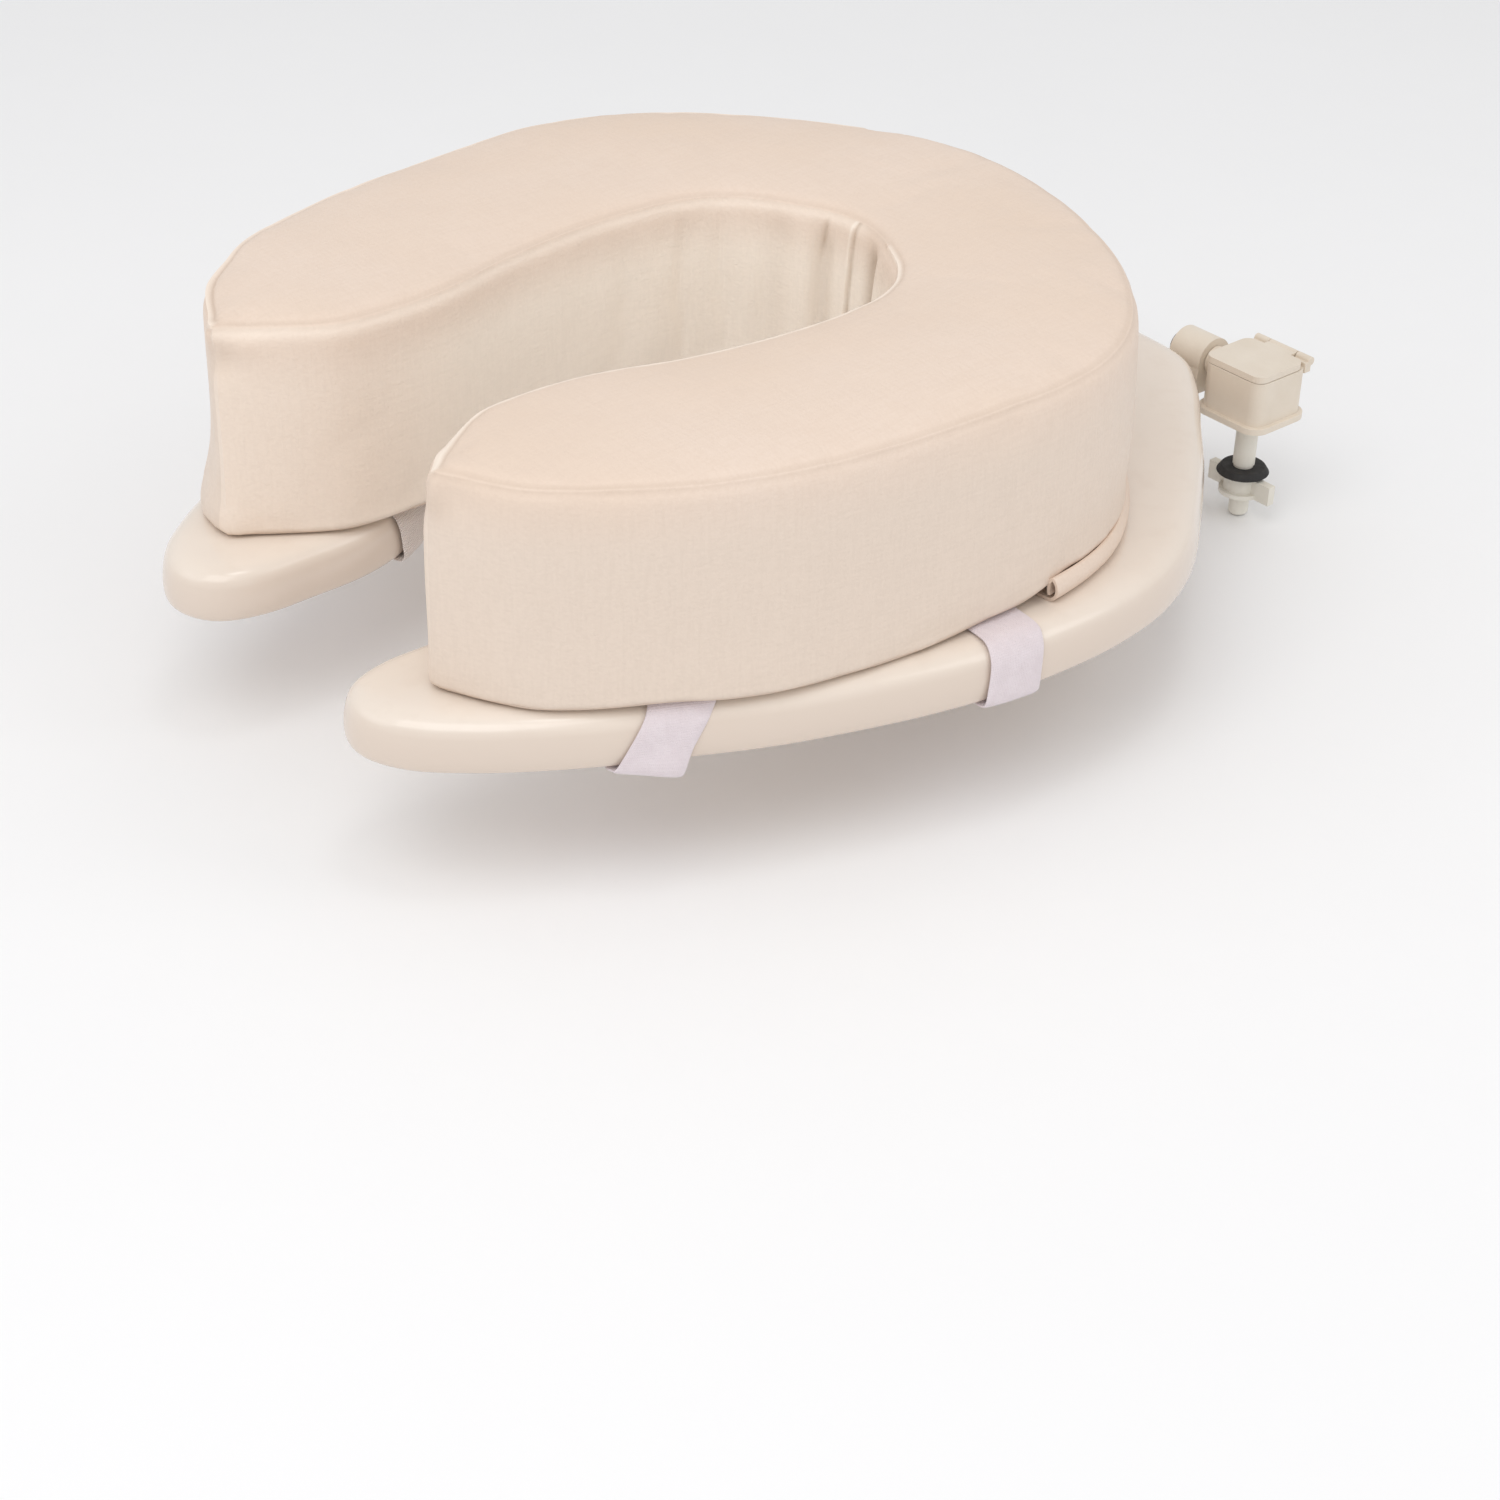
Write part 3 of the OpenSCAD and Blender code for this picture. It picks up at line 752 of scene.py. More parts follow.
def rolled_edge(radius, degrees):
    """Inset and drop on a rounded edge, from 0 degrees on the flat to 90 on the wall."""
    angle = np.radians(degrees)
    return radius * (1 - np.sin(angle)), radius * (1 - np.cos(angle))


def make_blank():
    """Closed work mesh of the whole cover, its outline and the vertices of the top edge."""
    grid, corner = cushion_grid()
    last_row, last_col = grid.shape[0] - 1, grid.shape[1] - 1
    flat = grid.reshape(-1, 2)
    total = len(flat)

    def cell(i, j):
        return i * (last_col + 1) + j

    rim_ids = (
        [cell(0, j) for j in range(corner, 0, -1)]
        + [cell(i, 0) for i in range(last_row)]
        + [cell(last_row, j) for j in range(last_col)]
        + [cell(i, last_col) for i in range(last_row, 0, -1)]
        + [cell(0, j) for j in range(last_col, corner, -1)]
    )
    rim_count = len(rim_ids)
    outer_count = 2 * corner + last_row        # stations on the outer band
    rim = Rim(flat[rim_ids], outer_count)
    gap, near, _, _ = rim.measure(flat)
    inward = flat - near
    inward = inward / np.maximum(np.linalg.norm(inward, axis=1), 1e-6)[:, None]
    gap[rim_ids] = 0.0
    inward[rim_ids] = -rim.outward
    near[rim_ids] = rim.points

    def panel(radius):
        """Plan of a panel with a rolled edge, and the drop at each point."""
        inset, drop = rolled_edge(radius, (1 - np.minimum(gap, radius) / radius) * 45)
        plan = np.where((gap < radius)[:, None], near + inward * (inset - FULLNESS)[:, None], flat)
        # the extra fullness eases back to nothing away from the edge
        easing = (gap >= radius) & (gap < radius + 12)
        shift = -FULLNESS * (1 - (gap - radius) / 12)
        return np.where(easing[:, None], flat + inward * shift[:, None], plan), drop

    top_plan, top_drop = panel(TOP_RADIUS)
    top_z = EDGE_TOP - top_drop + 2.2 * (1 - np.exp(-np.maximum(gap - 2, 0) / 24))
    foot_plan, foot_drop = panel(FOOT_RADIUS)
    foot_z = (EDGE_FOOT + foot_drop
              + (CUSHION_FOOT - EDGE_FOOT) * ease((gap - FOOT_RADIUS) / 6.0))
    points = [np.column_stack([top_plan, top_z]), np.column_stack([foot_plan, foot_z])]
    # nominal places: on the cut outline, before any rounding
    nominal = [np.column_stack([flat, np.full(total, z)]) for z in (EDGE_TOP, EDGE_FOOT)]
    depths = mesh_places(WALL_HEIGHT, 5.0)[1:-1]
    for depth in depths:
        upper = depth < WALL_HEIGHT / 2
        radius = TOP_RADIUS if upper else FOOT_RADIUS
        to_edge = depth if upper else WALL_HEIGHT - depth
        inset, drop = rolled_edge(radius, (min(to_edge, radius) / radius + 1) * 45)
        if to_edge >= radius:
            drop = to_edge
        z = EDGE_TOP - drop if upper else EDGE_FOOT + drop
        plan = rim.points - rim.outward * (inset - FULLNESS)
        points.append(np.column_stack([plan, np.full(rim_count, z)]))
        nominal.append(np.column_stack([rim.points, np.full(rim_count, EDGE_TOP - depth)]))
    nominal = np.concatenate(nominal)

    faces, panels = [], []
    for i in range(last_row):
        for j in range(last_col):
            a, b, c, d = cell(i, j), cell(i, j + 1), cell(i + 1, j + 1), cell(i + 1, j)
            faces.append((a, b, c, d))
            faces.append((total + a, total + d, total + c, total + b))
            panels += [TOP_PANEL, BOTTOM_PANEL]
    levels = [rim_ids]
    for k in range(len(depths)):
        start = 2 * total + k * rim_count
        levels.append(list(range(start, start + rim_count)))
    levels.append([total + v for v in rim_ids])
    for above, below in zip(levels, levels[1:]):
        for i in range(rim_count):
            j = (i + 1) % rim_count
            faces.append((above[i], above[j], below[j], below[i]))
            panels.append(OUTER_BAND if i < outer_count else INNER_BAND)
    ob = new_object("cushion_work", np.concatenate(points), faces)
    layer = ob.data.attributes.new("nominal", "FLOAT_VECTOR", "POINT")
    layer.data.foreach_set("vector", nominal.astype(np.float32).ravel())
    layer = ob.data.attributes.new("panel", "INT", "FACE")
    layer.data.foreach_set("value", np.array(panels, np.int32))
    return ob, rim, rim_ids, nominal[:, 2]


def inflate(ob, rim_ids, level):
    """Blows the cover up a little, with a cap on how far a point may move."""
    rest = coords(ob)
    pin = ob.vertex_groups.new(name="pin")
    pin.add([k for k, z in enumerate(level) if z < EDGE_FOOT + 6], 1.0, "REPLACE")
    pin.add(rim_ids, 0.25, "REPLACE")
    cloth = ob.modifiers.new("Cloth", "CLOTH")
    settings = cloth.settings
    settings.quality = 5
    settings.mass = 0.3
    settings.tension_stiffness = 18
    settings.compression_stiffness = 18
    settings.shear_stiffness = 6
    settings.bending_stiffness = 1.2
    settings.use_pressure = True
    settings.uniform_pressure_force = 4.0
    settings.vertex_group_mass = "pin"
    settings.effector_weights.gravity = 0.0
    cloth.collision_settings.use_collision = False
    scene = bpy.context.scene
    scene.frame_start, scene.frame_end = 1, 20
    cloth.point_cache.frame_start, cloth.point_cache.frame_end = 1, 20
    for f in range(1, 21):
        scene.frame_set(f)
    apply_all(ob)
    scene.frame_set(1)
    moved = coords(ob) - rest
    size = np.linalg.norm(moved, axis=1)
    cap = 2.6 * ease((level - EDGE_FOOT) / 22.0)
    capped = cap * np.tanh(size / np.maximum(cap, 1e-3) * 0.55)
    share = np.where(size > 1e-6, capped / np.maximum(size, 1e-6), 0)
    set_coords(ob, rest + moved * share[:, None])


# ------------------------------------------------------------ the cushion: shaping

# fuller places of the outer edge: place, reach, outward and upward fullness
SHOULDERS = (
    (on_cushion(-128.0, 48.0), 26.0, 1.8, 1.6),
    (on_cushion(-160.0, 205.0), 42.0, 1.4, 1.6),
    (on_cushion(-36.0, 340.0), 50.0, 1.6, 2.2),
)
# upright folds round the back of the opening: place (+ to the left of the middle), width,
# height of the fold, depths where it starts and ends, lean, painted shade in its hollow
FOLDS = (
    (-16.0, 5.4, -3.0, 8.0, 62.0, 0.04, 0.66), (-26.0, 5.0, 1.1, 6.0, 70.0, 0.04, 0.0),
    (15.5, 5.4, -2.0, 9.0, 80.0, 0.02, 0.32), (25.5, 7.0, 0.9, 6.0, 80.0, 0.03, 0.0),
    (36.0, 6.5, -1.4, 8.0, 60.0, 0.02, 0.2), (-31.0, 4.5, -0.9, 8.0, 50.0, 0.0, 0.2),
    (-44.0, 6.5, 0.6, 8.0, 60.0, 0.0, 0.0), (58.0, 9.0, 0.5, 8.0, 60.0, 0.0, 0.0),
    (-58.0, 6.5, -0.5, 8.0, 60.0, 0.0, 0.2), (76.0, 9.0, -0.5, 8.0, 60.0, 0.0, 0.2),
)
# front tips: side (1 right, -1 left), push of the ear in x and y, dimple, roll at the foot
TIPS = ((1, 2.6, -1.0, -0.9, 0.7), (-1, 0.6, -1.6, -1.9, 1.2))
# where the straps leave: x on the right side, y, width of the lifted foot
STRAP_LIFTS = ((131.0, -381.0, 19.0), (158.0, -249.0, 17.0))


class Skin:
    """The cover's vertices: where each lies on the cushion, and how it is moved and toned.

    Stations run round the outline; depth is below the top edge, rise above the foot.
    """

    def __init__(self, ob, rim):
        nominal = np.empty(len(ob.data.vertices) * 3, np.float32)
        ob.data.attributes["nominal"].data.foreach_get("vector", nominal)
        self.nominal = nominal.reshape(-1, 3).astype(float)
        self.ob = ob
        self.points, self.normals = coords(ob), normals(ob)
        self.gap, self.near, self.station, self.outward = rim.measure(self.nominal[:, :2])
        self.depth = np.maximum(EDGE_TOP - self.nominal[:, 2], 0.0)
        self.rise = np.maximum(self.nominal[:, 2] - EDGE_FOOT, 0.0)
        self.on_top = self.depth < 0.01
        self.on_foot = self.rise < 0.01
        self.wall = ~self.on_top & ~self.on_foot
        self.top_seam = np.where(self.on_top, self.gap, self.depth)    # distance to it
        self.foot_seam = np.where(self.on_foot, self.gap, self.rise)
        self.corner, self.total = rim.right_corner, rim.length
        self.right_gap = np.abs(self.station - self.corner)
        self.left_gap = np.minimum(self.station, self.total - self.station)
        self.tip_gap = np.minimum(self.right_gap, self.left_gap)
        self.inner = self.station > self.corner
        # from the back of the opening, + to the left
        self.from_back = self.station - (self.corner + self.total) / 2
        self.bulge = np.sin(np.pi * np.clip(self.rise / WALL_HEIGHT, 0, 1))
        self.move, self.lift, self.soil_and_shade, self.painted_highlight = np.zeros((4, len(self.points)))

    def foot_fade(self, width):
        """1 off the bottom panel, fading inwards on it."""
        return np.where(self.on_foot, bell(self.gap, width), 1)

    def behind(self, y, reach):
        """0 to 1 along the outer edge, rising behind a place y."""
        return ease((self.near[:, 1] - on_cushion(0, y)[1]) / reach) * ~self.inner

    def spread_down(self):
        """The cover spreads as it goes down, most of all at the front of the left limb."""
        inner, rise, station = self.inner, self.rise, self.station
        back = self.behind(196.0, 34.0)
        spread = 3.0 * bell(rise, 20.0, 1.5) * (1 - back) * np.where(inner, 0.75, 1.0)
        spread += 1.3 * self.bulge * self.wall
        left_front = ease((118.0 - station) / 85.0) * ~inner * ease((station + 4.0) / 18.0)
        spread += (5.0 * bell(rise, 21.0, 1.6) - 0.5 * self.bulge) * left_front
        flare = np.where(self.right_gap < self.left_gap, -0.6, 1.6) * bell(rise, 30.0, 1.5)
        spread += bell(self.tip_gap, 42.0) * inner * (1.2 + flare)
        # round the back the foot lies against the closure's hem
        spread += 1.3 * bell(rise, 9.0) * back
        low = self.foot_fade(9.0) * ~self.on_top
        self.points[:, :2] += self.outward * (spread * low)[:, None]

    def fill_shoulders(self):
        for (x, y), reach, push, raised in SHOULDERS:
            fill = bell(np.hypot(self.near[:, 0] - x, self.near[:, 1] - y), reach) * ~self.inner
            fill = fill * bell(self.top_seam, 30.0)
            self.points[:, :2] += self.outward * (push * fill)[:, None]
            self.points[:, 2] += raised * fill * ~self.on_foot

    def sew_seams(self):
        """A slight ridge with a shallow valley on each side.

        It is stronger on the left part of the outer edge and the right limb's inner edge. The seam
        lines are darkened with dirt and painted shade, the valleys beside the top seam with
        painted shade, and the stronger ridges get a painted highlight.
        """
        inner, station, top, foot = self.inner, self.station, self.top_seam, self.foot_seam
        strong = np.where(inner, station < self.corner + 0.46 * (self.total - self.corner),
                          station < 0.42 * self.corner)
        strong = np.where(strong, 1.0, 0.36)
        strong *= np.where(inner, ease((np.abs(self.from_back) - 10.0) / 40.0) * 0.85 + 0.15, 1.0)
        strong = strong * (1.0 + 0.7 * bell(station - 26.0, 34.0) * ~inner)
        pull = 0.8 + 0.3 * wobble(station / 31.0, 0.3, 1.0)
        self.move += (0.95 * bell(top, 0.95) - 0.34 * bell(top - 2.5, 0.95)) * strong * pull
        self.move += ~self.on_foot * (-0.45 * bell(foot, 1.1) + 0.25 * bell(foot - 3.0, 1.8))
        # upright seams at the two front corners, with dirt and painted shade in their grooves
        fade = 0.25 + 0.75 * ease((14.0 - self.depth) / 10.0)
        for gap in (self.right_gap, self.left_gap):
            self.move += -0.30 * bell(gap, 1.1) * fade * ~self.on_top
            self.soil_and_shade += 0.10 * bell(gap, 0.9) * fade * ~self.on_top
        # painted shade in the valley beside the top seam; dirt and painted shade along the top
        # seam line and the foot seam
        self.soil_and_shade += (0.05 + 0.20 * strong * self.on_top) * bell(top - 2.3, 0.9)
        self.soil_and_shade += 0.15 * bell(top - 1.0, 0.7) * (strong < 0.5)
        self.soil_and_shade += 0.35 * bell(foot, 1.0)
        # painted highlight on the crest of the stronger ridges
        self.painted_highlight += (np.where(inner, 0.75, 0.5) * np.minimum(strong, 1.2) * (strong > 0.5)
                      * bell(top, 1.3))

    def gather(self):
        """Gathers that run off the seams, and long shallow waves in walls and top."""
        station, top, foot = self.station, self.top_seam, self.foot_seam
        x, y, z = self.nominal.T
        gathers = wobble(station / 8.5, 5.0, top / 26.0)
        self.move += 0.24 * gathers * bell(top, 9.0, 1.4) * ease(top / 1.2)
        gathers = wobble(station / 12.0, 9.0, foot / 22.0)
        self.move += 0.55 * gathers * bell(foot, 14.0, 1.3) * ~self.on_foot
        self.move += self.wall * 0.95 * wobble(station / 46.0, z / 150.0, 2.0) * self.bulge
        self.move += self.on_top * 0.75 * wobble(x / 62.0, y / 62.0, 4.0) * ease(self.gap / 16)

    def fold_opening(self):
        """Upright folds in the tight curve at the back of the opening."""
        depth = self.depth
        inner_wall = self.inner & self.wall
        for place, width, size, start, end, lean, soil_and_shade in FOLDS:
            sway = lean * depth + 1.2 * np.sin(depth / 27.0 + place)
            lobe = bell(self.from_back - place - sway, width)
            height = ease((depth - 2.0) / (2.0 * start)) * (1 - 0.6 * ease((depth - end) / 30.0))
            fold = inner_wall * size * lobe * height
            self.move += fold
            # painted shade in the hollow of each fold
            self.soil_and_shade += np.clip(-fold / 2.4, 0.0, 1.0) ** 1.3 * soil_and_shade
        # a short sharp crease at the head of the deeper fold on the left, with painted shade in it
        crease = inner_wall * bell(self.from_back - 14.2 - 0.12 * depth, 0.95)
        crease = crease * ease((depth - 3.0) / 5.0) * ease((26.0 - depth) / 12.0)
        self.move -= 0.7 * crease
        self.soil_and_shade += 0.34 * crease

    def lap_opening(self):
        """Lapped seam at the back of the opening: one edge lies over the other."""
        depth = self.depth
        inner_wall = self.inner & self.wall
        lap = self.from_back + 0.9 - 0.06 * depth
        edge = ease((lap + 0.7) / 1.4) * bell(np.maximum(lap, 0), 14.0, 1)
        self.move += inner_wall * edge * ease(depth / 5.0)
        self.move += inner_wall * 0.45 * bell(lap - 1.3, 0.8) * ease(depth / 8.0)
        # painted shadow line beside the lapped edge
        self.soil_and_shade += inner_wall * 0.50 * bell(lap + 0.5, 0.8)
        # painted highlight on the ridge of the lap and in a band along the top of the wall
        lit_band = bell(depth - 2.5, 4.5) * ease((self.from_back + 12.0) / 10.0)
        self.painted_highlight += inner_wall * (0.38 * lit_band + 0.6 * bell(lap - 1.4, 0.9))

    def shape_tips(self):
        """Pointed ears where three panels meet at each front tip, with creases under them."""
        for side, push_x, push_y, dimple_size, roll_size in TIPS:
            tip = np.array([*on_cushion(72.0 * side, 0), EDGE_TOP])
            offset = self.points - tip
            distance = np.linalg.norm(offset, axis=1)
            self.points += bell(distance, 8.0)[:, None] * np.array([push_x, push_y, 0.8])
            around = np.arctan2(offset[:, 2], offset[:, 0] * side + 1e-9)
            ripple = np.cos(5.0 * around + 0.8 * side) * bell(distance - 14.0, 7.0)
            self.move += np.where(self.wall, 0.9 * ripple, 0.35 * ripple * self.on_top)
            gap = self.right_gap if side > 0 else self.left_gap
            dimple = bell(gap - 3.0, 6.0) * bell(self.depth - 15, 6.0) * self.wall
            self.move += dimple_size * dimple
            # painted shade in the dimple
            self.soil_and_shade += 0.16 * dimple
            # rolled corner at the foot of the tip
            self.move += self.wall * roll_size * bell(gap, 11.0) * bell(self.rise - 5.0, 6.5)

    def settle_foot(self):
        """The foot is drawn up over the straps and rises over the closure's hem at the back."""
        hang = 0.35 * wobble(self.station / 27.0, 7.0, 0.0)
        for side in (1, -1):
            for x, y, width in STRAP_LIFTS:
                distance = np.hypot(self.near[:, 0] - x * side, self.near[:, 1] - y)
                hang += 2.0 * bell(distance, width) * ~self.inner
        self.lift += np.maximum(hang, -0.1) * bell(self.foot_seam, 10.0) * self.foot_fade(7)
        rolled = bell(self.rise, 17.0) * self.foot_fade(9.0)
        self.lift += 6.6 * self.behind(185.0, 45.0) * rolled * ~self.on_top

    def finish(self):
        """Applies the moves, keeps the cover above the ring and completes the tones."""
        up = np.array([0, 0, 1.0])
        set_coords(self.ob, self.points + self.normals * self.move[:, None]
                   + up * self.lift[:, None])
        self.points, self.normals = coords(self.ob), normals(self.ob)
        lowest = np.where(self.on_foot & (self.gap > 10.0), CUSHION_FOOT, RING_TOP + 0.2)
        self.points[:, 2] = np.maximum(self.points[:, 2], lowest)
        # the walls darken towards the foot
        self.soil_and_shade = np.clip(self.soil_and_shade + 0.08 * bell(self.foot_seam, 7.0, 1) * self.wall, 0, 1)
        self.painted_highlight = np.clip(self.painted_highlight, 0, 1)
        self.deep = np.where(self.wall, ease((self.depth - 1.0) / 28.0), 0.0)
        # on the inner band the lower wall is lightened with painted light, less near the tips
        self.deep_inner = self.deep * (0.35 + 0.65 * ease((self.tip_gap - 38.0) / 80.0))


def make_panel(name, skin, faces, deep):
    """Closed sheet under some faces of the skin, with its tones."""
    thickness = 0.95
    used = sorted({v for face in faces for v in face})
    index = {v: i for i, v in enumerate(used)}
    count = len(used)
    top = skin.points[used]
    under = top - skin.normals[used] * thickness
    upper = [tuple(index[v] for v in face) for face in faces]
    edges = {edge: None for face in upper for edge in zip(face, face[1:] + face[:1])}
    sheet = upper + [tuple(v + count for v in reversed(face)) for face in upper]
    sheet += [(b, a, a + count, b + count) for a, b in edges if (b, a) not in edges]
    ob = new_object(name, np.concatenate([top, under]), sheet, sharp_angle=38)
    for key, values in (("soil_and_shade", skin.soil_and_shade), ("painted_highlight", skin.painted_highlight), ("deep", deep)):
        add_point_values(ob, key, np.tile(values[used], 2))
    return ob


def make_cushion():
    ob, rim, rim_ids, level = make_blank()
    inflate(ob, rim_ids, level)
    subdivide(ob)
    skin = Skin(ob, rim)
    skin.spread_down()
    skin.fill_shoulders()
    skin.sew_seams()
    skin.gather()
    skin.fold_opening()
    skin.lap_opening()
    skin.shape_tips()
    skin.settle_foot()
    skin.finish()

    panels = np.empty(len(ob.data.polygons), np.int32)
    ob.data.attributes["panel"].data.foreach_get("value", panels)
    faces = [tuple(face.vertices) for face in ob.data.polygons]
    for panel, part, material, deep in (
        (TOP_PANEL, "top_panel", VINYL_TOP, skin.deep),
        (OUTER_BAND, "outer_band", VINYL_BAND, skin.deep),
        (INNER_BAND, "inner_band", VINYL_INNER, skin.deep_inner),
        (BOTTOM_PANEL, "bottom_panel", VINYL_BOTTOM, skin.deep),
    ):
        own = [faces[i] for i in np.nonzero(panels == panel)[0]]
        piece = make_panel(f"cushion_{part}", skin, own, deep)
        add_to_seat(piece, material, f"cover_{part}")

    # foam inside the cover, a little smaller than it all round
    core = new_object("foam_block", skin.points - skin.normals * 1.1, faces)
    add_to_seat(core, FOAM, "foam_core")
    bpy.data.objects.remove(ob)


make_cushion()


# -------------------------------------------------------- closure at the back

def sweep(name, stations, section):
    """Closed cross-sections (outward, z) carried along the cushion's outer edge."""
    sharp_angle = 40
    places = OUTER.at(stations)
    outward = turn_left(unit(OUTER.at(stations + 0.8) - OUTER.at(stations - 0.8)))
    rows = []
    for k, station in enumerate(stations):
        outline = section(k, station)
        rows.append(np.column_stack([places[k] + outward[k] * outline[:, :1], outline[:, 1]]))
    count = len(rows[0])
    last = (len(rows) - 1) * count
    faces = []
    for start in range(0, last, count):
        for i in range(count):
            j = (i + 1) % count
            faces.append((start + i, start + j, start + count + j, start + count + i))
    faces.append(tuple(range(count))[::-1])
    faces.append(tuple(range(last, last + count)))
    ob = new_object(name, np.concatenate(rows), faces)
    face_outward(ob)
    ob.data.set_sharp_from_angle(angle=math.radians(sharp_angle))
    return ob


def sheet_section(path, thickness):
    """Closed outline of a sheet about an open path of (outward, z) points."""
    side = turn_left(unit(np.gradient(path, axis=0)))
    return np.concatenate([path + side * thickness / 2, (path - side * thickness / 2)[::-1]])


def make_hem(middle, reach, flap_top):
    """Turned-up hem that wraps the foot of the cushion round the back."""
    stations = np.linspace(middle - reach, middle + reach, 170)
    from_start, from_end = stations - stations[0], stations[-1] - stations
    open_end = bell(from_end, 16.0) + bell(from_start, 16.0)
    tuck = ease((np.minimum(from_start, from_end) - 10.0) / 75.0)
    heights = (flap_top - RING_TOP + 0.9 + 0.4 * wobble(stations / 34.0, 1.0, 0.0)
               + 0.3 * open_end - 0.8 * tuck)
    leans = 0.28 * wobble(stations / 21.0, 2.0, 6.0) + 1.1 * open_end - 2.4 * tuck
    foot = RING_TOP + 0.85

    def section(k, _):
        high, out = heights[k], leans[k]
        path = [
            (-25.6, foot), (-12, foot), (1.8 + 0.3 * out, foot), (4.0 + 0.8 * out, foot + 0.2),
            (5.7 + out, foot + 2.0), (6.5 + out, foot + high * 0.47),
            (5.75 + out, foot + high - 2.3), (4.2 + out * 0.8, foot + high - 0.75),
            (2.85 + out * 0.8, foot + high - 2.2), (2.5 + 0.8 * out, foot + high * 0.5),
            (2.7 + 0.7 * out, foot + 3.2), (3.35 + 0.5 * out, foot + 1.9),
        ]
        return sheet_section(smooth_open(path, 4), thickness=1.25)

    ob = sweep("closure_flap_hem", stations, section)
    # the hem is darker along its foot on the ring
    add_point_values(ob, "soil_and_shade", np.where(coords(ob)[:, 2] < RING_TOP + 2.2, 0.25, 0.03))
    add_to_seat(ob, VINYL_BAND, "closure_flap")


def make_closure_tape(kind, material, middle, reach):
    low, high = box(f"closure_{kind}_strip")
    foot, top = low[2] + 0.04, high[2] - 0.04
    across = np.linspace(-20.9, -5.1, 9)

    def section(_, station):
        shift = 0.25 * wobble(station / 17.0, foot, 0.0, octaves=1)
        wave = 0.05 * np.sin(across * 1.3 + station / 9.0)
        upper = np.column_stack([across + shift, top + np.minimum(wave, 0)])
        lower = np.column_stack([across + shift, foot + np.maximum(wave, 0)])
        upper[[0, -1], 1] -= 0.15       # thinner at both edges
        lower[[0, -1], 1] += 0.1
        return np.concatenate([upper, lower[::-1]])

    ob = sweep(f"closure_{kind}_tape",
               np.linspace(middle - reach + 5, middle + reach - 5, 120), section)
    around = np.concatenate([across, across[::-1]])
    index = np.arange(len(ob.data.vertices))
    add_cloth_uv(ob, np.column_stack([index // len(around) * 5.8, around[index % len(around)]]))
    add_to_seat(ob, material, f"closure_{kind}_strip")


def make_closure():
    flap_low, flap_high = box("closure_flap")
    # the closure runs between the places where the outline passes the flap's ends
    end = np.nonzero(outer_half[:, 1] < flap_low[1] + 1.5)[0][0]
    reach = Path(outer_half).arcs[end]
    middle = OUTER.length / 2
    make_hem(middle, reach, flap_high[2])
    make_closure_tape("hook", HOOK_TAPE, middle, reach)
    make_closure_tape("loop", LOOP_TAPE, middle, reach)


make_closure()


# ---------------------------------------------------------------- the straps

# samples along the right outer edge and the right side of the opening
RIGHT_OUTER, RIGHT_INNER = range(20, 77), range(92, 131)
STRAP_THICKNESS = 1.5
STRAP_HALF_WIDTH = 12.5


def ring_edge(y, samples):
    """Point of the ring's edge at y, and the direction out of the ring there."""
    points = smooth_closed(ring_outline, 4)
    for i in samples:
        a, b = points[i], points[i + 1]
        if (a[1] - y) * (b[1] - y) <= 0:
            return a + (y - a[1]) / (b[1] - a[1]) * (b - a), turn_left(unit(b - a))


def tail_heights(end, place):
    low, high = box(f"{end}_right_{place}_tail")
    return low[2], high[2]


def grid_solid(name, grid, thickness, uv):
    """Closed sheet about a grid of centre points (rows, columns, 3)."""
    rows, columns = grid.shape[:2]
    normal = np.cross(np.gradient(grid, axis=0), np.gradient(grid, axis=1))
    normal /= np.maximum(np.linalg.norm(normal, axis=2, keepdims=True), 1e-9)
    half = normal * thickness[..., None] / 2
    points = np.concatenate([(grid + half).reshape(-1, 3), (grid - half).reshape(-1, 3)])
    count = rows * columns

    def cell(i, j):
        return i * columns + j

    faces = []
    for i in range(rows - 1):
        for j in range(columns - 1):
            quad = (cell(i, j), cell(i + 1, j), cell(i + 1, j + 1), cell(i, j + 1))
            faces.append(quad)
            faces.append(tuple(v + count for v in reversed(quad)))
    edge = [cell(i, 0) for i in range(rows)]
    edge += [cell(rows - 1, j) for j in range(1, columns)]
    edge += [cell(i, columns - 1) for i in range(rows - 2, -1, -1)]
    edge += [cell(0, j) for j in range(columns - 2, 0, -1)]
    for a, b in zip(edge, edge[1:] + edge[:1]):
        faces.append((b, a, a + count, b + count))
    ob = new_object(name, points, faces, sharp_angle=50)
    add_cloth_uv(ob, np.tile(uv.reshape(-1, 2), (2, 1)))
    return ob


